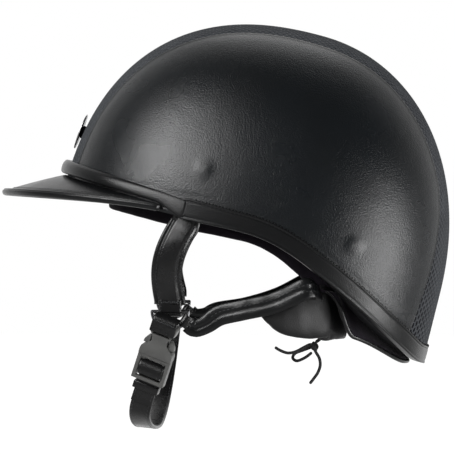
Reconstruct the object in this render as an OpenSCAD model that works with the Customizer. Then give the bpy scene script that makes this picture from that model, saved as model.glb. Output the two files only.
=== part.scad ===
// Riding helmet with a peak, a padded harness laced at the nape and a buckled chin strap.
// The origin is the centre of the head opening. The face looks along -X and the wearer's left is -Y.

/* [Dome] */
// Reach of the dome in front of the centre of the head opening
dome_front = 148; // [138:1:160]
// Reach of the dome behind the centre
dome_rear = 129; // [120:1:140]
// Half the width of the dome
dome_half_w = 105; // [98:1:114]
// Height of the crown above the centre
dome_h = 157; // [145:1:168]
// Roundness of the profile at the front, where 2 is an ellipse
round_front = 2.4; // [2:0.05:2.7]
// Roundness of the profile at the rear
round_rear = 2.1; // [2:0.05:2.5]
// Roundness of the outline seen from above
round_plan = 2.35; // [2:0.05:2.6]
// Angle by which the front is raised when the helmet hangs at rest
pitch = 14; // [5:1:20]

/* [Layers] */
// Thickness of the covers and of the mesh panel
cover_t = 1.2; // [0.8:0.1:1.4]
// Space between the covers and the hard shell
cover_gap = 1; // [0.9:0.1:1.4]
// Space between foam and linings
lining_gap = 0.9; // [0.8:0.1:1.2]
// Thickness of the hard shell
shell_t = 3; // [2:0.25:4]
// Space between shell and foam for the harness webbing
webbing_gap = 3; // [2.8:0.1:3.6]
// Thickness of the foam at the sides
foam_side = 15; // [13:1:18]
// Thickness of the foam at the front and rear
foam_ends = 24; // [20:1:28]
// Thickness of the foam at the crown
foam_top = 20; // [16:1:26]
// Thickness of the comfort headband and the nape lining
lining_t = 6; // [4:0.5:8]

/* [Rim] */
// Height of the rim at the front and sides
rim_side_z = 9.5; // [5:0.5:14]
// How much the rim rises over the ears
ear_arch = 1.5; // [0:0.5:4]
// How far the rim falls from the ears to the nape
rim_fall = 55; // [40:1:62]
// Extra fall of the rim over the last stretch at the rear
nape_dip = 3.5; // [0:0.5:6]
// Width of the sewn band along the rim
band_w = 12.3; // [8:0.1:16]
// Thickness of the rim band
band_t = 1.1; // [0.8:0.1:2]
// How far the front band stands proud of the dome
front_band_proud = 6; // [3:0.5:8]
// Height of the front band above the brow
front_band_h = 11; // [8:0.5:14]
// Height of the lower edge of the front band at the brow
front_band_z = 18.5; // [15:0.5:22]
// Fall of the front band from the brow to its ends
front_band_fall = 4; // [1:0.5:7]
// Angle from the brow to the ends of the front band
front_band_end = 67; // [55:1:74]

/* [Mesh panel] */
// Half the width of the mesh panel at the brow
panel_front = 51; // [40:1:58]
// Half the width of the mesh panel at the crown
panel_top = 47; // [38:1:55]
// Half the width of the mesh panel at the nape
panel_rear = 74; // [60:1:80]
// Height at which the panel starts to widen at the rear
panel_widen_z = 75; // [50:1:90]

/* [Peak] */
// Distance of the peak's tip in front of the centre
peak_reach = 191; // [175:1:205]
// Thickness of the peak
peak_t = 3.4; // [2.5:0.1:4]
// Half the width across the rear ends of the peak
peak_half_w = 103; // [98:1:108]
// How far the peak falls from its ends to its tip
peak_fall = 18.8; // [10:0.2:26]
// Height of the peak's rolled edge at its rear ends
peak_side_z = 12.5; // [9:0.5:13]
// Arch of the peak between its root and its edge
peak_bulge = 0.5; // [0:0.5:5]
// Radius of the rolled binding
binding_r = 2.7; // [2:0.1:3.2]

/* [Linings] */
// How far the headband hangs below the rim
headband_drop = 8; // [4:0.5:12]
// Height of the headband
headband_h = 34; // [25:1:40]
// Lowest level of the headband behind the ears
headband_floor = -14; // [-18:0.5:-8]
// How far the nape lining hangs below the headband's floor
nape_lining_drop = 41; // [30:1:46]

/* [Harness] */
// Forward distance of the strap rings from the centre
ring_x = -59; // [-64:1:-54]
// Sideways distance of the strap rings
ring_y = 83; // [80:1:86]
// How far the right ring hangs in front of the left one
right_forward = 13; // [0:1:16]
// Depth of the ring bars below the centre
ring_drop = 41; // [38:0.5:45]
// Radius of the round part of a ring, to the middle of its wire
ring_r = 12; // [11.5:0.5:13]
// Diameter of the ring wire
ring_wire = 2.5; // [2:0.1:2.8]
// Width of the padded front straps
front_strap_w = 21; // [17:0.5:24]
// Thickness of the padded front straps
front_strap_t = 5; // [4:0.5:6]
// Width of the rear straps
rear_strap_w = 14; // [11:0.5:16]
// Thickness of the rear straps
rear_strap_t = 2.6; // [2:0.2:3.4]
// Width of the webbing tabs inside the helmet
tab_w = 16; // [12:0.5:20]
// Thickness of the webbing in tabs, folds and loops
webbing_t = 1.3; // [1:0.1:1.4]
// Height of the nape pads
pad_h = 42; // [36:1:44]
// Thickness of the nape pads
pad_t = 11; // [8:0.5:12]

/* [Chin strap] */
// Width of the chin strap
chin_w = 15; // [13:0.5:15.4]
// Thickness of the chin strap
chin_t = 2.4; // [1.6:0.2:2.8]
// Thickness of its webbing where it passes the buckle
chin_webbing_t = 1.4; // [1:0.1:1.4]
// Depth of the chin strap's lowest point below the ring bars
chin_depth = 84.5; // [76:0.5:92]
// Distance of that point in front of the left ring
chin_forward = 21; // [14:0.5:28]
// Forward slant of the buckle under the left ring
chin_slant = 18; // [5:0.5:22]
// Forward slant of the strap under the right ring
far_slant = 6; // [2:0.5:14]
// Inward lean of the buckle
buckle_lean = 14; // [8:0.5:18]
// Turn of the buckle about its own length
buckle_twist = 12; // [4:1:12]

/* [Buckle] */
// Width of the buckle at its mouth
buckle_w = 23; // [22:0.5:25]
// Thickness of the socket
socket_t = 8.5; // [8:0.25:10]
// Length of the socket
socket_l = 24; // [23.5:0.25:26]
// Width of the socket across its waist
waist_w = 10.4; // [9.5:0.1:11]
// Width of the socket's cavity
cavity_w = 19.4; // [19:0.1:19.8]
// Height of the socket's cavity
cavity_t = 4.6; // [4.2:0.1:5.5]
// Thickness of the plug's frame
plug_t = 6.5; // [6.5:0.25:8]
// Length of the plug's frame below the mouth
plug_l = 18; // [17:0.1:20]
// Radius of the bar that the webbing turns round
turn_bar_r = 1.5; // [1.2:0.1:1.6]
// Running clearance between the parts of the buckle
buckle_play = 0.2; // [0.15:0.01:0.25]
// Overhang of each prong's barb beyond the cavity wall
barb_catch = 1.2; // [1:0.05:1.3]

/* [Lace] */
// Diameter of the lace
lace_d = 2.2; // [1.8:0.1:2.4]
// Height between the two eyelets of a side
eyelet_pitch = 12; // [10:0.5:14]
// Radius of the hole in an eyelet
eyelet_r = 1.7; // [1.6:0.05:2]

/* [Hidden] */
$fn = 48;

leather = [0.13, 0.13, 0.14];
plain = [0.2, 0.2, 0.21];
steel = [0.75, 0.75, 0.77];

column_step = 7.5;
shell_out = -(cover_t + cover_gap);
shell_in = shell_out - shell_t;
foam_out = shell_in - webbing_gap;
foam_edge_rise = 3;
rim_lip = 1;
lip_seat = 0.65;
band_seat = 0.35;
seam_tuck = 6;
seam_gap = 0.003;

// Small helpers
function lerp(a, b, k) = a + (b - a) * k;
function smooth(k) = let (c = max(0, min(1, k))) c * c * (3 - 2 * c);
function unit(v) = v / norm(v);
function pnorm(a, b, p) = pow(pow(abs(a), p) + pow(abs(b), p), 1 / p);
function turn_x(p, a) = [p.x, p.y * cos(a) - p.z * sin(a), p.y * sin(a) + p.z * cos(a)];
function turn_y(p, a) = [p.x * cos(a) + p.z * sin(a), p.y, p.z * cos(a) - p.x * sin(a)];
function turn_z(p, a) = [p.x * cos(a) - p.y * sin(a), p.x * sin(a) + p.y * cos(a), p.z];
function flip_y(p) = [p.x, -p.y, p.z];

// The dome: u is 0 at the brow, 90 at the left ear and 180 at the nape; d is the offset outwards
function half_len(u) = cos(u) > 0 ? dome_front : dome_rear;
function crown_round(u) = (round_front + round_rear) / 2 + (round_front - round_rear) / 2 * cos(u);
function plan_point(u, d) =
    let (r = 1 / pnorm(cos(u), sin(u), round_plan))
    [-(half_len(u) + d) * cos(u) * r, -(dome_half_w + d) * sin(u) * r];
function narrowing(u, z, d) =
    z <= 0 ? 1 : let (p = crown_round(u)) pow(max(0, 1 - pow(z / (dome_h + d), p)), 1 / p);
function dome_at(u, z, d = 0) =
    let (q = plan_point(u, d), s = narrowing(u, z, d)) [q.x * s, q.y * s, z];
function tilt_of(u, z, d) = atan2(z / (dome_h + d), narrowing(u, z, d));
function dome_row(u, t, d) =
    let (q = plan_point(u, d), k = t > 0 ? 1 / pnorm(cos(t), sin(t), crown_round(u)) : 1 / cos(t))
    [q.x * cos(t) * k, q.y * cos(t) * k, (dome_h + d) * sin(t) * k];
function dome_size(v, d) =
    let (a = (v.x < 0 ? dome_front : dome_rear) + d,
        b = dome_half_w + d,
        plan = pnorm(v.x / a, v.y / b, round_plan),
        u = atan2(abs(v.y) / b, -v.x / a))
    v.z <= 0 ? plan : pnorm(plan, v.z / (dome_h + d), crown_round(u));
function on_dome(v, d = 0) = v / dome_size(v, d);

// Heights that follow the rim
function side_of(u) = u > 180 ? 360 - u : u;
function rim_z(u) =
    let (s = side_of(abs(u)))
    rim_side_z + ear_arch * max(0, cos((s - 88) * 4.5)) * (abs(s - 88) < 20 ? 1 : 0)
        - rim_fall * smooth((s - 84) / 76) - nape_dip * smooth((s - 140) / 40);
function rim_slope(u) =
    let (a = dome_at(u - 1, rim_z(u - 1)), b = dome_at(u + 1, rim_z(u + 1)))
    (b.z - a.z) / norm([b.x - a.x, b.y - a.y]);
function band_rise(u) = (band_w - rim_lip) * sqrt(1 + pow(rim_slope(u), 2));
function foam_in(u, t) =
    foam_out - lerp(lerp(foam_side, foam_ends, pow(cos(u), 2)), foam_top, pow(max(t, 0) / 90, 2));
function lining_out(u) = foam_in(u, 0) - lining_gap;
function front_band_low(u) = front_band_z - front_band_fall * pow(abs(u) / front_band_end, 2);
function front_band_tall(u) = front_band_h * (1 - 0.25 * pow(abs(u) / front_band_end, 2));
function headband_low(u) = max(rim_z(u) - headband_drop, headband_floor);

// A closed solid between two grids of points
function quad(a, b, c, d) = [[a, c, b], [a, d, c]];
module slab(outer, inner, closed = false, apex = [])
{
    m = len(outer);
    n = len(outer[0]);
    base = m * n;
    last = closed ? m - 1 : m - 2;
    function id(i, j) = (i % m) * n + j;
    skins = [for (i = [0:last], j = [0:n - 2]) each concat(
        quad(id(i, j), id(i + 1, j), id(i + 1, j + 1), id(i, j + 1)),
        quad(base + id(i, j), base + id(i, j + 1), base + id(i + 1, j + 1), base + id(i + 1, j)))];
    low = [for (i = [0:last]) each quad(id(i, 0), base + id(i, 0), base + id(i + 1, 0), id(i + 1, 0))];
    high = len(apex) > 0
        ? [for (i = [0:last]) each [
            [id(i, n - 1), 2 * base, id(i + 1, n - 1)],
            [base + id(i, n - 1), base + id(i + 1, n - 1), 2 * base + 1]]]
        : [for (i = [0:last])
            each quad(id(i, n - 1), id(i + 1, n - 1), base + id(i + 1, n - 1), base + id(i, n - 1))];
    ends = closed ? [] : [for (j = [0:n - 2]) each concat(
        quad(id(0, j), id(0, j + 1), base + id(0, j + 1), base + id(0, j)),
        quad(id(m - 1, j), base + id(m - 1, j), base + id(m - 1, j + 1), id(m - 1, j + 1)))];
    polyhedron(
        points = concat([for (r = outer) each r], [for (r = inner) each r], apex),
        faces = concat(skins, low, high, ends));
}

// A closed solid through rings of points, each counter-clockwise seen from the far end
module sweep(rings, closed = false, cap = [])
{
    m = len(rings);
    n = len(rings[0]);
    last = closed ? m - 1 : m - 2;
    fan = len(cap) > 0 ? cap : [for (j = [1:n - 2]) [0, j, j + 1]];
    function id(i, j) = (i % m) * n + j % n;
    sides = [for (i = [0:last], j = [0:n - 1])
        each quad(id(i, j), id(i, j + 1), id(i + 1, j + 1), id(i + 1, j))];
    caps = closed ? [] : [for (f = fan) each [f, [for (k = [2:-1:0]) (m - 1) * n + f[k]]]];
    polyhedron(points = [for (r = rings) each r], faces = concat(sides, caps));
}

// Rings for straps, pads and laces: w lies along the width direction, t across it
function heading(path, i) = unit(path[min(i + 1, len(path) - 1)] - path[max(i - 1, 0)]);
function ring_at(p, dir, wide, w, t, outline) =
    let (td = unit(cross(dir, wide)), wd = cross(td, dir))
    [for (q = outline) p + wd * (q.x * w) + td * (q.y * t)];
STRAP_OUTLINE = [[0.5, -0.2], [0.5, 0.2], [0.42, 0.5], [-0.42, 0.5],
    [-0.5, 0.2], [-0.5, -0.2], [-0.42, -0.5], [0.42, -0.5]];
FLAT_OUTLINE = [[0.5, -0.5], [0.5, 0.5], [-0.5, 0.5], [-0.5, -0.5]];
PAD_OUTLINE = [for (a = [15:30:345]) [0.5 * cos(a), 0.5 * sign(sin(a)) * pow(abs(sin(a)), 0.7)]];
module strap(stations, outline = STRAP_OUTLINE)
{
    path = [for (s = stations) s[0]];
    sweep([for (i = [0:len(path) - 1])
        ring_at(path[i], heading(path, i), stations[i][1], stations[i][2], stations[i][3], outline)]);
}
module lace(path, wide = [0.35, 0.1, 1])
{
    circle_outline = [for (a = [22.5:45:337.5]) [cos(a), sin(a)] / 2];
    sweep([for (i = [0:len(path) - 1])
        ring_at(path[i], heading(path, i), wide, lace_d, lace_d, circle_outline)]);
}
module worn() { rotate([0, pitch, 0]) children(); }
module on_right() { mirror([0, 1, 0]) children(); }

// Hard parts of the helmet
module dome_layer(outer, inner, edge_rise, rows)
{
    us = [0:column_step:360 - column_step];
    function grid(offset) = [for (u = us)
        let (t0 = tilt_of(u, rim_z(u) + edge_rise, offset(u, 0)))
        [for (j = [0:rows - 1]) let (t = lerp(t0, 90, j / rows)) dome_row(u, t, offset(u, t))]];
    slab(grid(outer), grid(inner), closed = true,
        apex = [[0, 0, dome_h + outer(0, 90)], [0, 0, dome_h + inner(0, 90)]]);
}

module outer_shell()
{
    color(plain) worn() difference() {
        dome_layer(function(u, t) shell_out, function(u, t) shell_in, 0, 10);
        at_anchors() rivet_hole();
    }
}

module foam_liner()
{
    color([0.16, 0.16, 0.17]) worn()
        dome_layer(function(u, t) foam_out, function(u, t) foam_in(u, t), foam_edge_rise, 9);
}

// The seam between a side cover and the mesh panel, from the brow over the crown to the nape
function seam_half(x, z) =
    x < 0 ? lerp(panel_front, panel_top, z / dome_h)
        : lerp(panel_top, panel_rear, max(0, min(1, (panel_widen_z - z) / (panel_widen_z + rim_fall - rim_side_z))));
function seam_azimuth(half) = atan2(half / dome_half_w, 1);
function seam_point(a) =
    let (k = 1 / pnorm(cos(a), sin(a), crown_round(a)),
        x = -half_len(a) * cos(a) * k,
        z = dome_h * sin(a) * k)
    on_dome([x, -seam_half(x, z), z]);
function skirt_point(z) = dome_at(180 - seam_azimuth(seam_half(1, z)), z);
seam_front_u = seam_azimuth(panel_front);
seam_rear_u = 180 - seam_azimuth(panel_rear);
SEAM = concat(
    [dome_at(seam_front_u, rim_z(seam_front_u) + seam_tuck)],
    [for (a = [12:8:172]) seam_point(a)],
    [for (z = [0, -12, -24]) skirt_point(z)],
    [dome_at(seam_rear_u, rim_z(seam_rear_u) + seam_tuck)]);
COVER_RIM = [for (i = [0:len(SEAM) - 1])
    let (u = lerp(seam_front_u, seam_rear_u, i / (len(SEAM) - 1))) dome_at(u, rim_z(u))];

module side_cover()
{
    rows = 9;
    function grid(d) = [for (i = [0:len(SEAM) - 1])
        [for (j = [0:rows]) on_dome(lerp(COVER_RIM[i], SEAM[i], j / rows), d)]];
    slab(grid(0), grid(-cover_t));
}
module cover_left() { color(leather) worn() side_cover(); }
module cover_right() { color(leather) worn() on_right() side_cover(); }

module mesh_panel()
{
    across = 8;
    line = concat([COVER_RIM[0]], SEAM, [COVER_RIM[len(SEAM) - 1]]);
    function grid(d) = [for (p = line)
        [for (j = [0:across]) on_dome(lerp(p, flip_y(p), lerp(seam_gap, 1 - seam_gap, j / across)), d)]];
    color([0.1, 0.1, 0.11]) worn() slab(grid(-cover_t), grid(0));
}

module rim_band()
{
    us = [front_band_end + 1:(358 - 2 * front_band_end) / 44:359.01 - front_band_end];
    function section(u) =
        let (z = rim_z(u), top = z + band_rise(u))
        [[band_t, z - lip_seat - rim_lip], [shell_in, z - lip_seat - rim_lip], [shell_in, z - lip_seat],
            [band_seat, z - lip_seat], [band_seat, top], [band_t, top - band_t]];
    rings = [for (u = us) [for (q = section(u)) dome_at(u, q.y, q.x)]];
    color(leather) worn() sweep(rings, cap = [[0, 1, 2], [0, 2, 3], [0, 3, 5], [3, 4, 5]]);
}

module front_band()
{
    us = [-front_band_end:front_band_end / 16:front_band_end];
    function bulge(u) = lerp(1.4, front_band_proud, smooth((front_band_end - abs(u)) / 14));
    function section(u) =
        let (z = front_band_low(u), h = front_band_tall(u), p = bulge(u))
        [[0.7 * p, z + 0.04 * h], [band_seat, z], [band_seat, z + h], [0.45 * p, z + 0.95 * h],
            [0.85 * p, z + 0.72 * h], [p, z + 0.45 * h], [0.95 * p, z + 0.2 * h]];
    rings = [for (u = us) [for (q = section(u)) dome_at(u, q.y, q.x)]];
    color(leather) worn() sweep(rings);
}

// The peak: its root follows the front band and its edge a half ellipse
peak_side_x = -57;
peak_spread = 84;
function peak_edge(b) =
    let (x = peak_side_x - (peak_reach + peak_side_x) * cos(b),
        k = (peak_side_x - x) / (peak_reach + peak_side_x))
    [x, -peak_half_w * sin(b), peak_side_z - peak_fall * pow(k, 1.3)];
function peak_root(b) =
    let (u = b / peak_spread * (front_band_end - 3))
    dome_at(u, front_band_low(u) - 0.4 - peak_t / 2, 0.5);
function peak_out(b) = unit(peak_edge(b) - peak_root(b));
function peak_roll(b) = peak_edge(b) - peak_out(b) * binding_r;

module peak()
{
    bs = [-peak_spread:peak_spread / 16:peak_spread];
    rows = 4;
    function grid(side) = [for (b = bs)
        let (a = peak_root(b), e = peak_roll(b) - peak_out(b) * (binding_r + 0.45),
            arch = peak_bulge * cos(b))
        [for (j = [0:rows]) lerp(a, e, j / rows) + [0, 0, arch * sin(180 * j / rows) + side * peak_t / 2]]];
    color(leather) worn() slab(grid(-1), grid(1));
}

module peak_binding()
{
    roll = [for (a = [22.5:45:337.5]) [cos(a), sin(a)] * binding_r];
    rings = [for (b = [-peak_spread:peak_spread / 16:peak_spread])
        let (c = peak_roll(b), out = unit([peak_out(b).x, peak_out(b).y, 0]))
        [for (q = roll) c + [out.x * -q.x, out.y * -q.x, q.y]]];
    color(leather) worn() sweep(rings);
}

// Comfort linings
module lining_band(us, low, high, closed)
{
    rings = [for (u = us)
        let (o = lining_out(u), z = low(u), h = high(u) - z)
        [for (q = [[0, 0.1], [-0.25, 0.01], [-0.75, 0], [-1, 0.1], [-1.05, 0.5], [-1, 0.92], [-0.6, 1], [0, 0.95]])
            dome_at(u, z + q.y * h, o + q.x * lining_t)]];
    color([0.17, 0.15, 0.18]) worn() sweep(rings, closed);
}
module headband()
{
    lining_band([0:10:350], function(u) headband_low(u), function(u) headband_low(u) + headband_h, true);
}
nape_from = 113;
function nape_lining_low(u) =
    headband_floor - 3 - (nape_lining_drop - 3) * smooth((side_of(u) - nape_from - 8) / 26);
module nape_lining()
{
    lining_band([nape_from:(360 - 2 * nape_from) / 20:360 - nape_from + 0.01],
        function(u) nape_lining_low(u), function(u) headband_floor - lining_gap, false);
}
module crown_pad()
{
    us = [0:12:348];
    ts = [58, 68, 79];
    function grid(extra) = [for (u = us) [for (t = ts) dome_row(u, t, foam_in(u, t) - extra)]];
    top = dome_h + foam_in(0, 90);
    color([0.17, 0.15, 0.18]) worn()
        slab(grid(lining_gap), grid(lining_gap + lining_t), closed = true,
            apex = [[0, 0, top - lining_gap], [0, 0, top - lining_gap - lining_t]]);
}

// Harness anchors on the dome
front_anchor = [-47.5, -99.5, 44];
rear_anchor = [61, -96.4, 18.7];
front_exit_u = 69;
rear_exit_u = 111;
tab_over = 9;
tab_foot = 6.5;
rivet_r = 2;
rivet_head_r = 4.2;
rivet_head_t = 0.8;
function exit_point(u) = dome_at(u, rim_z(u) + tab_foot);
module on_anchor(p)
{
    base = on_dome(p);
    out = unit([base.x / pow(half_len(base.x < 0 ? 0 : 180), 2),
        base.y / pow(dome_half_w, 2), base.z / pow(dome_h, 2)]);
    translate(base) rotate([0, acos(out.z), atan2(out.y, out.x)]) children();
}
module at_anchors()
{
    for (p = [front_anchor, rear_anchor]) {
        on_anchor(p) children();
        on_right() on_anchor(p) children();
    }
}
module rivet_hole()
{
    translate([0, 0, foam_out]) cylinder(r = rivet_r + 0.1, h = -foam_out);
    translate([0, 0, shell_out - rivet_head_t - 0.1]) cylinder(r = rivet_head_r + 0.1, h = 2 * rivet_head_t);
}
module rivet()
{
    translate([0, 0, shell_out - rivet_head_t]) cylinder(r = rivet_head_r, h = rivet_head_t);
    translate([0, 0, foam_out + 0.5]) cylinder(r = rivet_r, h = shell_out - foam_out - 1);
}
module anchor_rivets() { color(steel) worn() at_anchors() rivet(); }
module dome_tab(anchor, exit_u)
{
    a = on_dome(anchor);
    e = exit_point(exit_u);
    start = a + unit(a - e) * tab_over;
    side = unit(cross(e - a, a));
    rows = 6;
    mid = -(webbing_gap - webbing_t) / 2;
    function grid(d) = [for (i = [0:rows])
        [for (j = [-1:1]) on_dome(lerp(start, e, i / rows) + side * (j * tab_w / 2), d)]];
    difference() {
        slab(grid(shell_in + mid - webbing_t), grid(shell_in + mid));
        on_anchor(anchor) rivet_hole();
    }
}
module tab_pair(anchor, exit_u)
{
    color(leather) worn() {
        dome_tab(anchor, exit_u);
        on_right() dome_tab(anchor, exit_u);
    }
}
module front_tabs() { tab_pair(front_anchor, front_exit_u); }
module rear_tabs() { tab_pair(rear_anchor, rear_exit_u); }

// Padded front straps
wire_r = ring_wire / 2;
fold_t = 1.8;
fold_w = 15;
fold_r = wire_r + 0.3 + fold_t / 2;
fold_top = 8;
ring_c = [ring_x, -ring_y, -ring_drop];
right_ring = [ring_x - right_forward, -ring_y, -ring_drop];
ring_turn = atan2(right_forward, 2 * ring_y);
module at_left_ring() { translate(ring_c) rotate([0, 0, ring_turn]) children(); }
module at_right_ring() { on_right() translate(right_ring) rotate([0, 0, -ring_turn]) children(); }
function hang_point(u, below, d) = turn_y(dome_at(u, rim_z(u) - below, d), pitch);
module front_strap(exit_u, ring, bow)
{
    foot_t = 2 * fold_r + fold_t;
    along = hang_point(exit_u + 3, 0, 0) - hang_point(exit_u - 3, 0, 0);
    tuck = hang_point(exit_u, -2.4, shell_in - 1.7);
    top = hang_point(exit_u, 3.6, shell_in - 3.6);
    foot = ring + [-1, 0, fold_top + 0.3];
    strap(concat(
        [[tuck, along, 0.8 * front_strap_w, 0.35 * front_strap_t]],
        [for (k = [0:0.125:1])
            [lerp(top, foot + [0, 0, 3], k) + bow * sin(180 * k), lerp(unit(along), [1, 0, 0], k),
                front_strap_w, lerp(front_strap_t, foot_t, smooth(k * 3 - 2))]],
        [[foot, [1, 0, 0], front_strap_w, foot_t]]));
}
module front_strap_left() { color(leather) front_strap(front_exit_u, ring_c, [-6, -4, 0]); }
module front_strap_right() { color(leather) on_right() front_strap(front_exit_u - 5, right_ring, [-9, -3, 0]); }

// Flat strip of webbing, t thick, along points in a plane, w wide across it
module ribbon(path, t, w)
{
    n = len(path) - 1;
    function way(i) = unit(path[min(i + 1, n)] - path[max(i - 1, 0)]);
    function side(i, s) = path[i] + [-way(i).y, way(i).x] * (s * t / 2);
    linear_extrude(w, center = true)
        polygon(concat([for (i = [0:n]) side(i, 1)], [for (i = [n:-1:0]) side(i, -1)]));
}
// Turns a drawing in x and y so that it lies in the plane of y and z, with its thickness along x
module upright() { rotate([90, 0, 90]) children(); }

module strap_fold()
{
    path = concat([[-fold_r, fold_top]], [for (a = [180:20:360]) [fold_r * cos(a), fold_r * sin(a)]],
        [[fold_r, fold_top]]);
    upright() ribbon(path, fold_t, fold_w);
}
module strap_folds()
{
    color(leather) {
        at_left_ring() strap_fold();
        at_right_ring() strap_fold();
    }
}

module d_ring()
{
    rotate([0, 90, 0]) cylinder(r = wire_r, h = 2 * ring_r, center = true);
    rotate([90, 0, 0]) rotate([0, 0, 180]) rotate_extrude(angle = 180) translate([ring_r, 0]) circle(wire_r);
    for (s = [-1, 1]) translate([s * ring_r, 0, 0]) sphere(wire_r);
}
module ring_left() { color(steel) at_left_ring() d_ring(); }
module ring_right() { color(steel) at_right_ring() d_ring(); }

// Webbing sewn round the curved wire of a ring, closed to a flat end
loop_end = 17;
wire_hole = wire_r + 0.3;
module around_wire(w, extra)
{
    sag = ring_r - sqrt(pow(ring_r, 2) - pow(w / 2, 2));
    translate([0, -ring_r]) circle(wire_hole + extra, $fn = 24);
    translate([0, -ring_r + sag]) circle(wire_hole + extra, $fn = 24);
}
module end_loop(w)
{
    upright() linear_extrude(w, center = true) difference() {
        hull() {
            around_wire(w, webbing_t);
            translate([0, -loop_end]) square([2 * webbing_t, 0.4], center = true);
        }
        hull() around_wire(w, 0);
    }
}

// Rear straps, from the rings up under the rim behind the ears
rear_loop_w = 7.4;
rear_loop_angle = 34;
function rear_loop_way(p) = turn_y(p, rear_loop_angle - 90);
module rear_strap(ring, side, sag)
{
    low = [0, 0, -sag];
    start = ring + turn_z(rear_loop_way([0, 0, -loop_end - 0.6]), side * ring_turn);
    under_rim = hang_point(rear_exit_u, rear_strap_w * 0.75, shell_in - 2.4);
    strap([
        [start, rear_loop_way([1, 0, 0]), rear_loop_w, 2 * webbing_t],
        [start + rear_loop_way([0, 0, -2.6]), rear_loop_way([1, 0, 0]), rear_loop_w, 2 * webbing_t],
        [start + [10.2, -0.3, 0.8] + low / 2, [0, 0, 1], rear_strap_w - 5.5, rear_strap_t],
        [start + [19, -1, 7.5] + low, [0, 0, 1], rear_strap_w, rear_strap_t],
        [lerp(start, under_rim, 0.45) + [0, 1, -0.5] + low, [0, 0.1, 1], rear_strap_w, rear_strap_t],
        [lerp(start, under_rim, 0.72) + [0, 1.5, -2.5] + low / 2, [0, 0.1, 1], rear_strap_w, rear_strap_t],
        [under_rim, [-0.3, 0.1, 1], rear_strap_w, rear_strap_t],
        [hang_point(rear_exit_u + 5, -1.6, shell_in - 1.7), [-0.8, 0, 1], 0.5 * rear_strap_w, webbing_t]]);
}
module rear_strap_left() { color(leather) rear_strap(ring_c, 1, 0); }
module rear_strap_right() { color(leather) on_right() rear_strap(right_ring, -1, 5); }
module rear_loop() { rotate([0, rear_loop_angle - 90, 0]) end_loop(rear_loop_w); }
module rear_loops()
{
    color(leather) {
        at_left_ring() rear_loop();
        at_right_ring() rear_loop();
    }
}

// Nape pads: padded wings from behind the ears to the lacing at the nape
// Each station gives place, share of the full height and share of the full thickness
PAD_STATIONS = [
    [[2, -83.5, -41.5], 0.1, 0.3], [[9, -82.2, -43.5], 0.32, 0.7], [[19, -78, -46], 0.54, 0.95],
    [[30, -70.4, -45.5], 0.75, 1], [[40.2, -61.2, -42], 0.95, 1], [[49, -49.6, -41], 1, 1],
    [[52, -34.5, -44], 0.9, 1], [[49, -23, -49], 0.72, 0.9], [[43.9, -15.9, -53], 0.56, 0.6],
    [[40.5, -12, -53], 0.5, 0.45]];
// The stations are laid out for a dome of this half width, and their outer ends follow a wider one
pad_layout_w = 105;
function pad_spot(p) =
    [p.x, p.y - (dome_half_w - pad_layout_w) * smooth((-p.y - 16) / 45), p.z];
module nape_pad()
{
    strap([for (s = PAD_STATIONS) [pad_spot(s[0]), [0, 0, 1], s[1] * pad_h, s[2] * pad_t]], PAD_OUTLINE);
}
module nape_pad_left() { color(leather) nape_pad(); }
module nape_pad_right() { color(leather) on_right() nape_pad(); }

// Lacing between the two pads
lace_r = lace_d / 2;
tab_t = 2;
pad_end = PAD_STATIONS[9][0];
pad_way = unit(pad_end - PAD_STATIONS[8][0]);
eyelet_mid = pad_end + pad_way * 4.8;
eyelet_out = turn_z(pad_way, -90);
eyelet_barrel = eyelet_r + 0.6;
module at_eyelets()
{
    for (s = [-1, 1]) translate(eyelet_mid + [0, 0, s * eyelet_pitch / 2])
        rotate([0, 0, atan2(pad_way.y, pad_way.x)]) rotate([90, 0, 0]) children();
}
module lace_tab()
{
    tab_l = 8.6;
    difference() {
        translate(pad_end + pad_way * (0.3 + tab_l / 2)) rotate([0, 0, atan2(pad_way.y, pad_way.x)])
            cube([tab_l, tab_t, eyelet_pitch + 8], center = true);
        at_eyelets() cylinder(r = eyelet_barrel + 0.05, h = tab_t + 2, center = true);
    }
}
module lace_tabs()
{
    color(leather) {
        lace_tab();
        on_right() lace_tab();
    }
}
module eyelet()
{
    flange = 3.2;
    rim = tab_t / 2 + 0.1;
    rotate_extrude() polygon([[eyelet_r, -rim - 0.5], [flange, -rim - 0.5], [flange, -rim], [eyelet_barrel, -rim],
        [eyelet_barrel, rim], [flange, rim], [flange, rim + 0.5], [eyelet_r, rim + 0.5]]);
}
module eyelets()
{
    color(steel) {
        at_eyelets() eyelet();
        on_right() at_eyelets() eyelet();
    }
}

// A stretch through one eyelet, from its outer to its inner side
function pass_left(up) =
    let (c = eyelet_mid + [0, 0, up * eyelet_pitch / 2])
    [c + eyelet_out * 3.2, c, c - eyelet_out * 3.4];
function pass_right(up) = [for (p = pass_left(up)) flip_y(p)];
function back(list) = [for (i = [len(list) - 1:-1:0]) list[i]];
knot_c = [36.4, 0, -69.5];
NAPE_LACE = concat(
    [knot_c + [0.7, -2.1, 3], [40.6, -4, -63.4]], pass_left(-1),
    [[31.2, -9, -56.5], [29.6, 0, -53], [31.2, 9, -49.5]], back(pass_right(1)),
    [[42, 3, -46.5], [42, -3, -46.5]], pass_left(1),
    [[32.2, -9.2, -50], [33.2, 0, -53], [32.2, 9.2, -56]], back(pass_right(-1)),
    [[40.6, 4, -63.4], knot_c + [0.7, 2.1, 3]]);
module nape_lace() { color(plain) lace(NAPE_LACE, [0.2, 0.1, 1]); }
module lace_knot()
{
    wrap_r = 2.5;
    color(plain) translate(knot_c) {
        rotate([0, 75, 0]) rotate_extrude() translate([wrap_r, 0]) circle(1.3);
        rotate([80, 0, 20]) rotate_extrude() translate([1.6, 0]) circle(1.4);
    }
}
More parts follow.
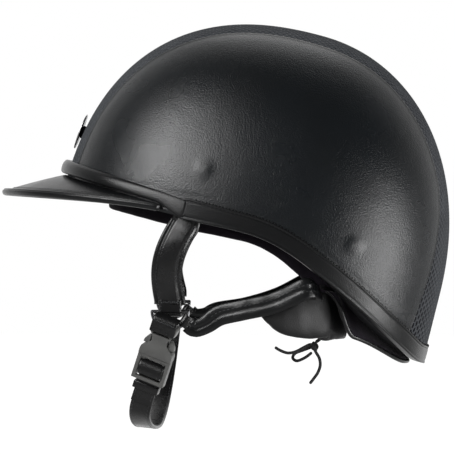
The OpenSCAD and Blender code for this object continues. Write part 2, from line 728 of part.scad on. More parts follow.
LACE_BOW = [[33.6, 0.6, -70.2], [28, 3, -72.4], [22.6, 4, -74.6], [20.8, 3, -77.8], [23.8, 1, -79.8],
    [29.6, -0.6, -77.4], [34.6, -0.6, -73.6]];
LACE_END_FRONT = [[33.2, -1.4, -68], [28.6, -4, -70], [23, -6, -72.8], [17.6, -6.5, -73.7], [12.4, -6.6, -72],
    [8.4, -7, -69.6]];
LACE_END_DOWN = [[37.2, 1.2, -73.3], [39.8, 1.8, -78], [40.4, 2, -83], [38.8, 1.6, -88], [35.8, 1, -92.4],
    [33, 0.6, -96]];
module lace_bow() { color(plain) lace(LACE_BOW, [0, 1, 0.1]); }
module lace_end_front() { color(plain) lace(LACE_END_FRONT, [0, 1, 0.1]); }
module lace_end_down() { color(plain) lace(LACE_END_DOWN, [0, 1, 0.1]); }

// The chin strap hangs from the rings; its frame has x across the strap and -z down along it
module hang() { at_left_ring() rotate([0, chin_slant, 0]) children(); }
function hang_at(p) = ring_c + turn_z(turn_y(p, chin_slant), ring_turn);
// The buckle lies outside the front strap's fold, its bar beside the ring's lowest wire
bar_r = 1.3;
socket_top = 8;
socket_off = fold_r + fold_t / 2 + 0.9 + socket_t / 2;
module buckle_frame()
{
    hang() translate([0, -socket_off, -socket_top]) rotate([buckle_lean, 0, 0]) rotate([0, 0, -buckle_twist])
        children();
}
function buckle_at(p) =
    hang_at([0, -socket_off, -socket_top] + turn_x(turn_z(p, -buckle_twist), buckle_lean));

chin_loop_w = 8.6;
slot_h = 5.8;
module socket_loop()
{
    bar_y = -socket_off + bar_r * sin(buckle_lean);
    bar_z = -socket_top - bar_r * cos(buckle_lean);
    swing = chin_loop_w / 2 * sin(buckle_twist);
    module outline(extra)
    {
        hull() {
            around_wire(chin_loop_w, extra);
            for (s = [-1, 1]) translate([bar_y + s * swing, bar_z]) circle(bar_r + 0.3 + extra, $fn = 24);
        }
    }
    color(leather) hang() upright() linear_extrude(chin_loop_w, center = true) difference() {
        outline(webbing_t);
        outline(0);
    }
}

// Outline of one half of the socket, from its top edge down to its mouth
waist = waist_w / 2;
mouth = buckle_w / 2;
cavity = cavity_w / 2;
SOCKET_HALF = [[0, 0], [8.6, 0], [9, -0.8], [9, -4], [8.2, -7], [waist + 0.9, -9.6], [waist, -11.8],
    [waist + 0.5, -14], [cavity - 2, -16], [cavity, -17.2], [mouth - 0.4, -18.8], [mouth, -20.5],
    [mouth, -socket_l], [0, -socket_l]];
module buckle_socket()
{
    module plate() { linear_extrude(socket_t, center = true) polygon(SOCKET_HALF); }
    slot_w = 12;
    slot_l = 2 * bar_r + slot_h;
    cavity_top = 9.6;
    color(plain) buckle_frame() {
        difference() {
            rotate([90, 0, 0]) union() {
                plate();
                mirror([1, 0, 0]) plate();
            }
            translate([-slot_w / 2, -socket_t, -slot_l]) cube([slot_w, 2 * socket_t, slot_l + 1]);
            translate([-cavity, -cavity_t / 2, -socket_l - 1]) cube([cavity_w, cavity_t, socket_l + 1 - cavity_top]);
        }
        translate([0, 0, -bar_r]) rotate([0, 90, 0]) cylinder(r = bar_r, h = slot_w + 1, center = true);
    }
}

// The plug: a frame with a window for the webbing, a tongue and two sprung prongs
root_x = 7.4;
root_drop = 2.4;
root_r = 1.5;
window_w = chin_w + 1.2;
window_top = 3.6;
foot_bar = 2.7;
turn_bar_drop = 8.5;
tongue_w = 6;
prong_t = cavity_t - 2 * buckle_play;
module buckle_plug()
{
    top = -socket_l - buckle_play;
    foot = top - plug_l;
    color(plain) buckle_frame() {
        difference() {
            translate([-mouth, -plug_t / 2, foot]) cube([buckle_w, plug_t, plug_l]);
            translate([-window_w / 2, -plug_t, foot + foot_bar])
                cube([window_w, 2 * plug_t, plug_l - foot_bar - window_top]);
            translate([-window_w / 2, -0.1, foot - 1]) cube([window_w, plug_t, foot_bar + 2]);
            for (s = [-1, 1]) {
                translate([s * root_x, 0, top - root_drop]) rotate([90, 0, 0])
                    cylinder(r = root_r + 0.06, h = prong_t + 0.3, center = true);
                translate([s * (root_x - 0.35) - 2.1, -prong_t / 2 - 0.15, top - root_drop])
                    cube([4.2, prong_t + 0.3, root_drop + 1]);
            }
        }
        translate([0, 0, top - turn_bar_drop]) rotate([0, 90, 0])
            cylinder(r = turn_bar_r, h = window_w + 0.4, center = true);
        translate([-tongue_w / 2, -prong_t / 2, top - 0.5]) cube([tongue_w, prong_t, 14]);
    }
}

// A prong of the plug, drawn for the rear side: arm, barb and sloped head
barb_z = -16.7;
module prong(side)
{
    root_z = -socket_l - buckle_play - root_drop;
    barb = cavity + barb_catch;
    outline = [[root_x - 0.9, root_z], [root_x - 0.9, -13], [root_x - 0.9, -10.8], [root_x, -10.2],
        [root_x + 1.3, -11], [barb - 0.5, -13.6], [barb, -15.2], [barb, barb_z + 0.3], [root_x + 1, barb_z + 0.3],
        [root_x + 1, root_z]];
    color(plain) buckle_frame() mirror([side < 0 ? 1 : 0, 0, 0]) rotate([90, 0, 0]) {
        linear_extrude(prong_t, center = true) polygon(outline);
        translate([root_x, root_z, 0]) cylinder(r = root_r, h = prong_t, center = true);
    }
}
module prong_front() { prong(-1); }
module prong_rear() { prong(1); }

// The webbing turns over the plug's bar and its loose tail lies on the strap
tail_path_y = turn_bar_r + buckle_play + chin_webbing_t / 2;
turn_z_at = -socket_l - buckle_play - turn_bar_drop;
tail_lie = chin_webbing_t / 2;
strap_lie = tail_path_y;
back_lie = strap_lie + (chin_t - chin_webbing_t) / 2;
tail_end = turn_z_at - 26;
strap_start = turn_z_at - 4;
module strap_tail()
{
    foot_z = -socket_l - buckle_play - plug_l + foot_bar;
    path = concat([[tail_path_y, strap_start + 0.1]],
        [for (a = [0:20:180]) [tail_path_y * cos(a), turn_z_at + tail_path_y * sin(a)]],
        [[-tail_path_y, turn_z_at - 0.8], [tail_lie, foot_z + 1], [tail_lie, tail_end]]);
    color(leather) buckle_frame() upright() ribbon(path, chin_webbing_t, chin_w);
}

keeper_z = turn_z_at - 14.4;
keeper_h = 5;
module strap_keeper()
{
    inner_w = chin_w + 0.8;
    near = -0.3;
    far = back_lie + chin_t / 2 + 0.4;
    wall = 1.1;
    color(leather) buckle_frame() translate([0, (near + far) / 2, keeper_z]) difference() {
        cube([inner_w + 2 * wall, far - near + 2 * wall, keeper_h], center = true);
        cube([inner_w, far - near, keeper_h + 1], center = true);
    }
}

// The chin strap: straight behind the buckle's tail, then one curve under the chin to the other ring
function bezier(a, b, c, d, k) =
    a * pow(1 - k, 3) + b * 3 * pow(1 - k, 2) * k + c * 3 * (1 - k) * k * k + d * pow(k, 3);
// How far each end's direction carries into the curve, and how flat the curve runs under the chin
near_carry = 14;
far_carry = 34;
near_flat = 42;
far_flat = 50;
module chin_strap()
{
    across = turn_y([1, 0, 0], far_slant);
    twisted = buckle_at([1, 0, 0]) - buckle_at([0, 0, 0]);
    leave = [0, back_lie, tail_end - 1];
    bottom = [ring_x - chin_forward, 0, -ring_drop - chin_depth];
    near = buckle_at(leave);
    near_way = unit(buckle_at(leave) - buckle_at([0, back_lie, tail_end + 9]));
    far = flip_y(right_ring) + turn_y([0, 0, -loop_end - 0.6], far_slant);
    far_way = turn_y([0, 0, -1], far_slant);
    straight = [
        [buckle_at([0, strap_lie, strap_start]), twisted, chin_w, chin_webbing_t],
        [buckle_at([0, strap_lie, turn_z_at - 6]), twisted, chin_w, chin_webbing_t],
        [buckle_at([0, back_lie, turn_z_at - 9]), twisted, chin_w, chin_t],
        [buckle_at([0, back_lie, turn_z_at - 16]), twisted, chin_w, chin_t]];
    near_curve = [for (k = [0:0.125:1])
        [bezier(near, near + near_way * near_carry, bottom - [0, near_flat, 0], bottom, k),
            lerp(twisted, across, smooth(k * 1.6)), chin_w, chin_t]];
    far_curve = [for (k = [0.875:-0.125:0])
        [bezier(far, far + far_way * far_carry, bottom + [0, far_flat, 0], bottom, k), across, chin_w,
            k < 0.1 ? 2 * webbing_t : chin_t]];
    color(leather) strap(concat(straight, near_curve, far_curve), FLAT_OUTLINE);
}
module far_loop() { color(leather) at_right_ring() rotate([0, far_slant, 0]) end_loop(chin_loop_w); }

outer_shell();
foam_liner();
cover_left();
cover_right();
mesh_panel();
rim_band();
front_band();
peak();
peak_binding();
headband();
nape_lining();
crown_pad();
anchor_rivets();
front_tabs();
rear_tabs();
front_strap_left();
front_strap_right();
strap_folds();
ring_left();
ring_right();
rear_strap_left();
rear_strap_right();
rear_loops();
nape_pad_left();
nape_pad_right();
lace_tabs();
eyelets();
nape_lace();
lace_knot();
lace_bow();
lace_end_front();
lace_end_down();
socket_loop();
buckle_socket();
far_loop();
chin_strap();
buckle_plug();
prong_front();
prong_rear();
strap_tail();
strap_keeper();
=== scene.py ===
# %% [markdown]
# # A riding helmet, dressed piece by piece
# The solids of the helmet come in as a fixed frame. Each soft or smooth piece is then made again over its solid,
# finer than the solid is, and takes its place in the picture. Lengths are written in millimetres, as on the
# real object, and turned into metres at the moment a vertex is placed.
# %% Set-up
import math
import bmesh
import bpy
from mathutils import Matrix, Vector, noise


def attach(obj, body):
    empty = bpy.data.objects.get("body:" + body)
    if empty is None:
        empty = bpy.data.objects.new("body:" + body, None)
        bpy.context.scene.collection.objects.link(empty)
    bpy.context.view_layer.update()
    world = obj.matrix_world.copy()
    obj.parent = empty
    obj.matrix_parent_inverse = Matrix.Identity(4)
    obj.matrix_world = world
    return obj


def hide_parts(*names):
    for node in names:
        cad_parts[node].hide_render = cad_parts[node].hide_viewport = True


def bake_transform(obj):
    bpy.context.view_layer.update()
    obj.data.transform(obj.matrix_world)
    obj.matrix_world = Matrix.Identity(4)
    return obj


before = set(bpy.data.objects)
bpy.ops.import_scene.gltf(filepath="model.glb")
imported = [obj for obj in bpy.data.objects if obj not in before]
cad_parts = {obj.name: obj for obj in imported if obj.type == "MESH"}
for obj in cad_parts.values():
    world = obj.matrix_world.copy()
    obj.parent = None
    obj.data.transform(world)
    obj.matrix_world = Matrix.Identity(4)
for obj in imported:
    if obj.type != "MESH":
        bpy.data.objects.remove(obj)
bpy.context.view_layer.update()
MM = 0.001

# %% [markdown]
# The photograph looks at the helmet's left side from a little in front, level with its rim, through a long lens.
# A long lens keeps the dome's outline close to a plain side view, so the camera stands far away and is narrow.
# %% Camera
def add_object(name, data):
    """Puts new data into the scene as an object."""
    obj = bpy.data.objects.new(name, data)
    bpy.context.scene.collection.objects.link(obj)
    return obj

def aim(obj, place, target):
    """Puts an object at a place and points its -Z at a target, both in metres."""
    obj.location = place
    obj.rotation_mode = "QUATERNION"
    obj.rotation_quaternion = (Vector(target) - Vector(place)).to_track_quat("-Z", "Y")

MIDDLE = Vector((-25.7, 0, 15.3)) * MM
DISTANCE, FROM_SIDE = 1.3, math.radians(3.5)
sight = Vector((-math.sin(FROM_SIDE), math.cos(FROM_SIDE), 0))
long_lens = bpy.data.cameras.new("camera")
long_lens.lens, long_lens.sensor_width = 144, 36
camera = add_object("camera", long_lens)
aim(camera, MIDDLE - sight * DISTANCE, MIDDLE)
bpy.context.scene.camera = camera
bpy.context.scene.view_settings.view_transform = "Standard"
print("camera stands at", [round(c, 3) for c in camera.location])

# %% [markdown]
# Everything on the helmet follows one smooth form: an egg-shaped dome, whose plan and profile are a little
# squarer than ellipses. `u` runs round the head in degrees from the brow, `t` climbs to the crown, and
# `d` is the distance from the outer skin. With these few functions, every layer can lie on the one before it.
# %% The form of the dome
FRONT, REAR, HALF_WIDTH, HEIGHT = 148, 129, 105, 157
PLAN_POWER = 2.35
PITCH = 14
SHELL_OUT, SHELL_IN, FOAM_OUT = -2.2, -5.2, -8.2
FOAM_SIDE, FOAM_END, FOAM_TOP = 15, 24, 20

def sind(a): return math.sin(math.radians(a))
def cosd(a): return math.cos(math.radians(a))
def atan2d(a, b): return math.degrees(math.atan2(a, b))
def mix(a, b, k): return a + (b - a) * k
def clamp(k): return max(0.0, min(1.0, k))
def smooth(k): return clamp(k) ** 2 * (3 - 2 * clamp(k))
def rounded(x, y, p): return (abs(x) ** p + abs(y) ** p) ** (1 / p)
def half_len(u): return FRONT if cosd(u) > 0 else REAR
def half_len_at(x): return FRONT if x < 0 else REAR
def crown_power(u): return 2.25 + 0.15 * cosd(u)
def flip(v): return Vector((v[0], -v[1], v[2]))
def turn_y(v, a): return Vector((v[0] * cosd(a) + v[2] * sind(a), v[1], v[2] * cosd(a) - v[0] * sind(a)))
def turn_z(v, a): return Vector((v[0] * cosd(a) - v[1] * sind(a), v[0] * sind(a) + v[1] * cosd(a), v[2]))

def plan_point(u, d):
    r = 1 / rounded(cosd(u), sind(u), PLAN_POWER)
    return -(half_len(u) + d) * cosd(u) * r, -(HALF_WIDTH + d) * sind(u) * r

def narrowing(u, z, d):
    p = crown_power(u)
    return 1 if z <= 0 else max(0, 1 - (z / (HEIGHT + d)) ** p) ** (1 / p)

def dome_at(u, z, d=0):
    x, y = plan_point(u, d)
    s = narrowing(u, z, d)
    return Vector((x * s, y * s, z))

def tilt_of(u, z, d): return atan2d(z / (HEIGHT + d), narrowing(u, z, d))

def dome_row(u, t, d=0):
    x, y = plan_point(u, d)
    k = 1 / rounded(cosd(t), sind(t), crown_power(u)) if t > 0 else 1 / cosd(t)
    return Vector((x * cosd(t) * k, y * cosd(t) * k, (HEIGHT + d) * sind(t) * k))

def on_dome(v, d=0):
    """The point of the layer d that lies on the way from the dome's middle through v."""
    a, b = half_len_at(v.x) + d, HALF_WIDTH + d
    size = rounded(v.x / a, v.y / b, PLAN_POWER)
    if v.z > 0:
        size = rounded(size, v.z / (HEIGHT + d), crown_power(atan2d(abs(v.y) / b, -v.x / a)))
    return v / size

def worn(v):
    """From the dome's own frame to the way the helmet sits, tipped back by its pitch."""
    return turn_y(v, PITCH)

def on_worn_dome(u, z, d): return worn(dome_at(u, z, d))

def rim_z(u):
    s = 360 - abs(u) if abs(u) > 180 else abs(u)
    arch = max(0, cosd((s - 88) * 4.5)) if abs(s - 88) < 20 else 0
    return 9.5 + 1.5 * arch - 55 * smooth((s - 84) / 76) - 3.5 * smooth((s - 140) / 40)

def foam_in(u, t):
    return FOAM_OUT - mix(mix(FOAM_SIDE, FOAM_END, cosd(u) ** 2), FOAM_TOP, (max(t, 0) / 90) ** 2)
print(f"dome {FRONT + REAR} long, {2 * HALF_WIDTH} broad; the rim falls {rim_z(0) - rim_z(180):.1f} mm")

# %% [markdown]
# Most pieces are sheets or tubes that follow those functions. A grid from `create_grid` is the plainest start:
# each corner carries its shares across and along, and a placing function moves it to where the piece has it.
# The UV map is laid out in millimetres at the same time, so that a weave keeps its true size.
# %% A sheet that follows a placing function
def running_total(points):
    """Distances from the start of a line to each of its points."""
    total = [0.0]
    for a, b in zip(points, points[1:]):
        total.append(total[-1] + (b - a).length)
    return total

def sheet_mesh(columns, rows, place, joined=False):
    """A grid carried by place(share across, share along) in millimetres; joined merges edges that meet."""
    bm = bmesh.new()
    bmesh.ops.create_grid(bm, x_segments=columns, y_segments=rows, size=0.5)
    uv = bm.loops.layers.uv.new("UVMap")
    shares = {v: (v.co.x + 0.5, v.co.y + 0.5) for v in bm.verts}
    across = running_total([Vector(place(i / columns, 0.5)) for i in range(columns + 1)])
    along = running_total([Vector(place(0.5, j / rows)) for j in range(rows + 1)])
    for face in bm.faces:
        for loop in face.loops:
            a, b = shares[loop.vert]
            loop[uv].uv = (across[round(a * columns)], along[round(b * rows)])
    for v, (a, b) in shares.items():
        v.co = Vector(place(a, b)) * MM
    if joined:
        bmesh.ops.remove_doubles(bm, verts=bm.verts, dist=2e-6)
    return bm

def tube_of(columns, rows, place):
    """A sheet whose long edges are joined, closed at its open ends."""
    bm = sheet_mesh(columns, rows, place, joined=True)
    bmesh.ops.holes_fill(bm, edges=[e for e in bm.edges if e.is_boundary], sides=0)
    return bm

def make_piece(name, bm, materials, node=None, body="helmet", smooth_angle=None):
    """Turns a bmesh into a finished piece that rides on a body and stands for its solid, if it has one."""
    bmesh.ops.recalc_face_normals(bm, faces=bm.faces)
    mesh = bpy.data.meshes.new(name)
    bm.to_mesh(mesh)
    bm.free()
    for m in materials:
        mesh.materials.append(m)
    mesh.shade_smooth()
    if smooth_angle:
        mesh.set_sharp_from_angle(angle=math.radians(smooth_angle))
    obj = add_object(name, mesh)
    if body:
        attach(obj, body)
    if node:
        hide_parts(node)
    print(f"{name}: {len(mesh.polygons)} faces")
    return obj

def thicken(obj, thickness, offset):
    """Gives a sheet its real thickness, in millimetres, by a Solidify modifier."""
    wall = obj.modifiers.new("thickness", "SOLIDIFY")
    wall.thickness = thickness * MM
    wall.offset = offset

# %% [markdown]
# Black things are told apart by how they shine and how their surface is broken, hardly by colour. So each
# finish is made of small effects that several materials share: a pebbled leather grain, a patchy wear mask, a
# woven thread pattern and a fibrous pile. They are node groups with named inputs, placed in every material
# with its own values; they give out only masks and heights.
# %% A helper for node groups
def node_group(name, inputs, outputs):
    """An empty shader node group with float inputs (name, default) and float outputs (name)."""
    group = bpy.data.node_groups.new(name, "ShaderNodeTree")
    for socket, default in inputs:
        made = group.interface.new_socket(name=socket, in_out="INPUT", socket_type="NodeSocketFloat")
        made.default_value = default
    for socket in outputs:
        group.interface.new_socket(name=socket, in_out="OUTPUT", socket_type="NodeSocketFloat")
    return group, group.nodes.new("NodeGroupInput"), group.nodes.new("NodeGroupOutput")

def feed(tree, socket, value):
    """Links another node's output to an input, or sets a plain value there."""
    if isinstance(value, bpy.types.NodeSocket):
        tree.links.new(value, socket)
    elif value is not None:
        socket.default_value = value

def add_node(tree, kind, settings=None, **values):
    """A node with its plain settings; values go to the inputs of the same name, as numbers or links."""
    node = tree.nodes.new(kind)
    for key, value in (settings or {}).items():
        setattr(node, key, value)
    for key, value in values.items():
        feed(tree, node.inputs[key.replace("_", " ")], value)
    return node

def math_node(tree, operation, a, b=None, c=None):
    """A Math node fed by sockets or plain numbers; returns its output."""
    node = add_node(tree, "ShaderNodeMath", {"operation": operation})
    for socket, value in zip(node.inputs, (a, b, c)):
        feed(tree, socket, value)
    return node.outputs[0]

# %% [markdown]
# Soft leatherette is embossed with shallow, rounded cells about a millimetre wide, with finer wrinkles between
# them. A smooth Voronoi pattern gives the cells and a noise breaks their regularity.
# %% Grain of the leatherette
grain, g_in, g_out = node_group("leather_grain", [("Cells per metre", 900.0), ("Fine share", 0.4)],
                                ["Height", "Creases"])
where, count = add_node(grain, "ShaderNodeTexCoord").outputs["Object"], g_in.outputs["Cells per metre"]
cells = add_node(grain, "ShaderNodeTexVoronoi", {"feature": "SMOOTH_F1"}, Vector=where, Scale=count,
                 Smoothness=0.7)
finer = math_node(grain, "MULTIPLY", count, 2.3)
fine = add_node(grain, "ShaderNodeTexNoise", Vector=where, Scale=finer, Detail=3.0)
pebble = math_node(grain, "SUBTRACT", 1.0, cells.outputs["Distance"])
wrinkle = math_node(grain, "MULTIPLY", fine.outputs["Fac"], g_in.outputs["Fine share"])
grain.links.new(math_node(grain, "ADD", pebble, wrinkle), g_out.inputs["Height"])
grain.links.new(math_node(grain, "SMOOTH_MIN", cells.outputs["Distance"], 0.6, 0.1), g_out.inputs["Creases"])

# %% [markdown]
# Handling polishes leather in patches and leaves others dull. A slow noise, sharpened a little, makes them.
# %% Patches of wear
wear, w_in, w_out = node_group("worn_patches", [("Patches per metre", 22.0), ("Contrast", 0.6)], ["Mask"])
where = add_node(wear, "ShaderNodeTexCoord").outputs["Object"]
clouds = add_node(wear, "ShaderNodeTexNoise", Vector=where, Scale=w_in.outputs["Patches per metre"], Detail=4.0,
                  Distortion=0.4)
centred = math_node(wear, "SUBTRACT", clouds.outputs["Fac"], 0.5)
spread = math_node(wear, "MULTIPLY", centred, math_node(wear, "MULTIPLY", w_in.outputs["Contrast"], 4.0))
wear.links.new(math_node(wear, "ADD", spread, 0.5), w_out.inputs["Mask"])
wear.nodes[-1].use_clamp = True

# %% [markdown]
# A lace is woven of bundles that pass over and under each other. Two sine ridges at right angles, read from
# the UV map in millimetres, follow the cord round every bend.
# %% Woven threads
weave, v_in, v_out = node_group("woven_threads", [("Thread width", 0.7)], ["Height"])
parts = add_node(weave, "ShaderNodeSeparateXYZ", Vector=add_node(weave, "ShaderNodeTexCoord").outputs["UV"])
ridges = []
for axis in ("X", "Y"):
    turns = math_node(weave, "DIVIDE", parts.outputs[axis], v_in.outputs["Thread width"])
    ridges.append(math_node(weave, "SINE", math_node(weave, "MULTIPLY", turns, math.pi)))
crossing = math_node(weave, "MULTIPLY", ridges[0], ridges[1])
weave.links.new(math_node(weave, "ABSOLUTE", crossing), v_out.inputs["Height"])

# %% [markdown]
# Comfort linings are brushed: short fibres lie every way and catch the light as a soft fuzz. A stretched, fine
# noise stands for the pile, with a slower one for the places where it is rubbed flat.
# %% Brushed pile
pile, p_in, p_out = node_group("brushed_pile", [("Fibres per metre", 2600.0)], ["Height", "Rubbed"])
where = add_node(pile, "ShaderNodeTexCoord").outputs["Object"]
fibres = add_node(pile, "ShaderNodeTexNoise", Vector=where, Scale=p_in.outputs["Fibres per metre"], Detail=5.0,
                  Roughness=0.7, Distortion=1.2)
rubbed = add_node(pile, "ShaderNodeTexNoise", Vector=where, Scale=60.0, Detail=2.0)
pile.links.new(fibres.outputs["Fac"], p_out.inputs["Height"])
pile.links.new(rubbed.outputs["Fac"], p_out.inputs["Rubbed"])

# %% [markdown]
# A material is then short: a shader whose colour and roughness move between two values along a mask, and a
# bump from a height. The two colours are always close, because the real finishes are nearly one black.
# %% The material maker
def group_node(tree, group, numbers):
    """A node that holds a pattern group, with its numbers set."""
    node = tree.nodes.new("ShaderNodeGroup")
    node.node_tree = group
    for key, value in numbers.items():
        node.inputs[key].default_value = value
    return node

def finish_of(name, dark, light, rough, group, numbers, bump_mm, mask="Mask", specular=0.42, metallic=0.0,
              sheen=0.0, patches=22.0, contrast=0.6):
    """A material from one pattern group and the wear mask; rough is a pair, dull first."""
    mat = bpy.data.materials.new(name)
    mat.use_nodes = True
    tree = mat.node_tree
    shader = tree.nodes["Principled BSDF"]
    pattern = group_node(tree, group, numbers)
    worn_patches = group_node(tree, wear, {"Patches per metre": patches, "Contrast": contrast})
    tint = add_node(tree, "ShaderNodeMix", {"data_type": "RGBA"})
    tint.inputs[6].default_value, tint.inputs[7].default_value = (*dark, 1), (*light, 1)
    tree.links.new((pattern if mask in pattern.outputs else worn_patches).outputs[mask], tint.inputs[0])
    spread = add_node(tree, "ShaderNodeMapRange", Value=worn_patches.outputs["Mask"], To_Min=rough[0],
                      To_Max=rough[1])
    bump = add_node(tree, "ShaderNodeBump", Strength=1.0, Distance=bump_mm * MM, Height=pattern.outputs["Height"])
    for key, value in (("Base Color", tint.outputs[2]), ("Roughness", spread.outputs["Result"]),
                       ("Normal", bump.outputs["Normal"]), ("Specular IOR Level", specular),
                       ("Metallic", metallic), ("Sheen Weight", sheen)):
        feed(tree, shader.inputs[key], value)
    return mat

def grained(name, dark, light, rough, cells, fine, bump_mm, **more):
    """Leather, moulded plastic or foam: cells to a metre and the share of fine wrinkles."""
    numbers = {"Cells per metre": cells, "Fine share": fine}
    return finish_of(name, dark, light, rough, grain, numbers, bump_mm, **more)

def fibrous(name, dark, light, rough, fibres, bump_mm, **more):
    """Cloth, yarn or drawn metal: fibres to a metre."""
    return finish_of(name, dark, light, rough, pile, {"Fibres per metre": fibres}, bump_mm, "Rubbed", **more)

# %% [markdown]
# The finishes of this helmet, each with the scale of its real pattern: the dome's leatherette is the one with
# the soft blue-grey sheen, the straps' leather is smoother, the mesh is matt yarn, the buckle is moulded plastic.
# %% The finishes
leather = grained("leather_cover", (0.0022, 0.003, 0.0038), (0.0044, 0.0056, 0.0068), (0.33, 0.26),
                  1050, 0.9, 0.14)
band_leather = grained("leather_trim", (0.0026, 0.0027, 0.003), (0.0055, 0.0058, 0.0062), (0.36, 0.27),
                       1200, 0.6, 0.08, specular=0.32, patches=60)
strap_leather = grained("strap_leather", (0.003, 0.003, 0.0032), (0.0065, 0.0065, 0.0068), (0.34, 0.24),
                        1500, 0.8, 0.06, specular=0.38, patches=90, contrast=0.8)
pad_leather = grained("pad_leather", (0.003, 0.003, 0.0032), (0.006, 0.006, 0.0063), (0.52, 0.44),
                      1300, 0.7, 0.08, specular=0.3, patches=80)
plastic = grained("buckle_plastic", (0.06, 0.06, 0.058), (0.082, 0.082, 0.079), (0.42, 0.34),
                  4200, 0.5, 0.012, specular=0.55, patches=120)
shell_plastic = grained("shell_plastic", (0.02, 0.02, 0.022), (0.03, 0.03, 0.032), (0.5, 0.4), 2000, 0.4, 0.02)
foam = grained("liner_foam", (0.018, 0.018, 0.02), (0.035, 0.035, 0.037), (0.8, 0.65), 330, 0.15, 0.35,
               mask="Creases", specular=0.35)
yarn = fibrous("spacer_mesh", (0.03, 0.032, 0.036), (0.058, 0.062, 0.068), (0.66, 0.55), 3000, 0.05,
               specular=0.16)
# Near black: painted shade on the floors of the mesh's openings; the badge's block wears the same black.
deep = fibrous("hole_shade_and_block_black", (0.002, 0.002, 0.003), (0.006, 0.006, 0.009), (0.9, 0.8), 2000, 0.05, specular=0.15)
lining = fibrous("lining", (0.0035, 0.0024, 0.0045), (0.013, 0.0095, 0.015), (0.95, 0.85), 1500, 0.25,
                 specular=0.12, sheen=0.1)
thread = fibrous("thread", (0.02, 0.021, 0.023), (0.045, 0.047, 0.05), (0.6, 0.5), 5000, 0.03, specular=0.4)
dark_thread = fibrous("dark_thread", (0.0015, 0.0015, 0.0018), (0.004, 0.004, 0.0045), (0.8, 0.7), 5000, 0.03,
                      specular=0.1)
steel = fibrous("blackened_steel", (0.09, 0.09, 0.095), (0.16, 0.16, 0.165), (0.36, 0.24), 4000, 0.004,
                metallic=1.0, patches=150)
bright_metal = fibrous("bright_metal", (0.42, 0.42, 0.43), (0.6, 0.6, 0.6), (0.3, 0.18), 4000, 0.004,
                       metallic=1.0)
# The lace's colour follows the weave's height: lighter on the threads' crowns, darker in the grooves between
# them, a painted shade.
cord_yarn = finish_of("lace_yarn", (0.012, 0.012, 0.013), (0.035, 0.035, 0.036), (0.75, 0.6), weave,
                      {"Thread width": 0.5}, 0.15, mask="Height", specular=0.3)
print("finishes:", len(bpy.data.materials))

# %% [markdown]
# Seams show as rows of short stitches. Each stitch is a tiny sphere, stretched along the seam and pressed flat,
# with few faces because there are hundreds of them.
# %% Rows of stitches
def resample(points, spacing):
    """Points at an even spacing along a line, each with its direction."""
    out, carry = [], 0.0
    for a, b in zip(points, points[1:]):
        step = b - a
        while carry < step.length:
            out.append((a + step * (carry / step.length), step.normalized()))
            carry += spacing
        carry -= step.length
    return out

def add_stitches(bm, points, outward, pitch=3.0, length=2.1, width=0.45, zigzag=0.0, material=1):
    """Stitches along a line in millimetres; outward(point) is the way the surface faces there."""
    for i, (p, way) in enumerate(resample([Vector(q) for q in points], pitch)):
        up = Vector(outward(p)).normalized()
        side = up.cross(way).normalized()
        along = (way + side * (zigzag if i % 2 else -zigzag)).normalized()
        basis = Matrix((along * length, along.cross(up) * -width, up * width * 0.6)).transposed().to_4x4()
        place = Matrix.Translation(p * MM) @ Matrix.Scale(MM, 4) @ basis
        made = bmesh.ops.create_uvsphere(bm, u_segments=6, v_segments=4, radius=0.5, matrix=place)
        for f in {f for v in made["verts"] for f in v.link_faces}:
            f.material_index = material

def dome_out(p):
    """The way the worn dome faces at a point."""
    p = turn_y(p, -PITCH)
    slope = Vector((p.x / half_len_at(p.x) ** 2, p.y / HALF_WIDTH ** 2, max(p.z, 0) / HEIGHT ** 2))
    return worn(slope.normalized())

# %% [markdown]
# Hard pieces whose solids already have the right shape only need softer edges. A copy of the solid is merged
# into one skin, its flat parts are joined, and its sharp edges get a small round, as any moulded or bent piece
# has; the solid itself isn't touched.
# %% Dressing a solid with rounded edges
SHARP = math.radians(32)

def dress(name, node, finish, bevel, body="helmet"):
    """A piece over a solid: merged, with its sharp edges rounded by bevel millimetres."""
    bm = bmesh.new()
    bm.from_mesh(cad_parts[node].data)
    bmesh.ops.remove_doubles(bm, verts=bm.verts, dist=2e-6)
    bmesh.ops.dissolve_limit(bm, angle_limit=math.radians(0.5), verts=bm.verts, edges=bm.edges)
    edges = [e for e in bm.edges if len(e.link_faces) == 2 and e.calc_face_angle(0) > SHARP]
    bmesh.ops.bevel(bm, geom=edges, offset=bevel * MM, offset_type="OFFSET", segments=2, profile=0.5,
                    affect="EDGES", clamp_overlap=True, material=-1)
    return make_piece(name, bm, [finish], node, body, smooth_angle=50)

# %% [markdown]
# Two leatherette covers meet the mesh at a curved seam. The seam runs from the brow over the crown to the nape,
# narrowest on top and widest at the back. It is kept as a line that can be asked for at any share of its length.
# %% The seam between cover and mesh
PANEL_FRONT, PANEL_TOP, PANEL_REAR = 51, 47, 74
WIDENS_BELOW, WIDENS_OVER = 75, 120.5
def seam_half(x, z):
    """Half the mesh's width at a point of the dome."""
    if x < 0:
        return mix(PANEL_FRONT, PANEL_TOP, z / HEIGHT)
    return mix(PANEL_TOP, PANEL_REAR, clamp((WIDENS_BELOW - z) / WIDENS_OVER))
def seam_azimuth(half): return atan2d(half / HALF_WIDTH, 1)

def seam_point(a):
    k = 1 / rounded(cosd(a), sind(a), crown_power(a))
    x, z = -half_len(a) * cosd(a) * k, HEIGHT * sind(a) * k
    return on_dome(Vector((x, -seam_half(x, z), z)))

def line_lookup(points):
    """A function that gives the point at a share of a line's length, and that length."""
    total = running_total(points)
    def at(k):
        s = clamp(k) * total[-1]
        i = next((j for j in range(1, len(total)) if total[j] >= s), len(total) - 1)
        return points[i - 1].lerp(points[i], (s - total[i - 1]) / max(1e-9, total[i] - total[i - 1]))
    return at, total[-1]

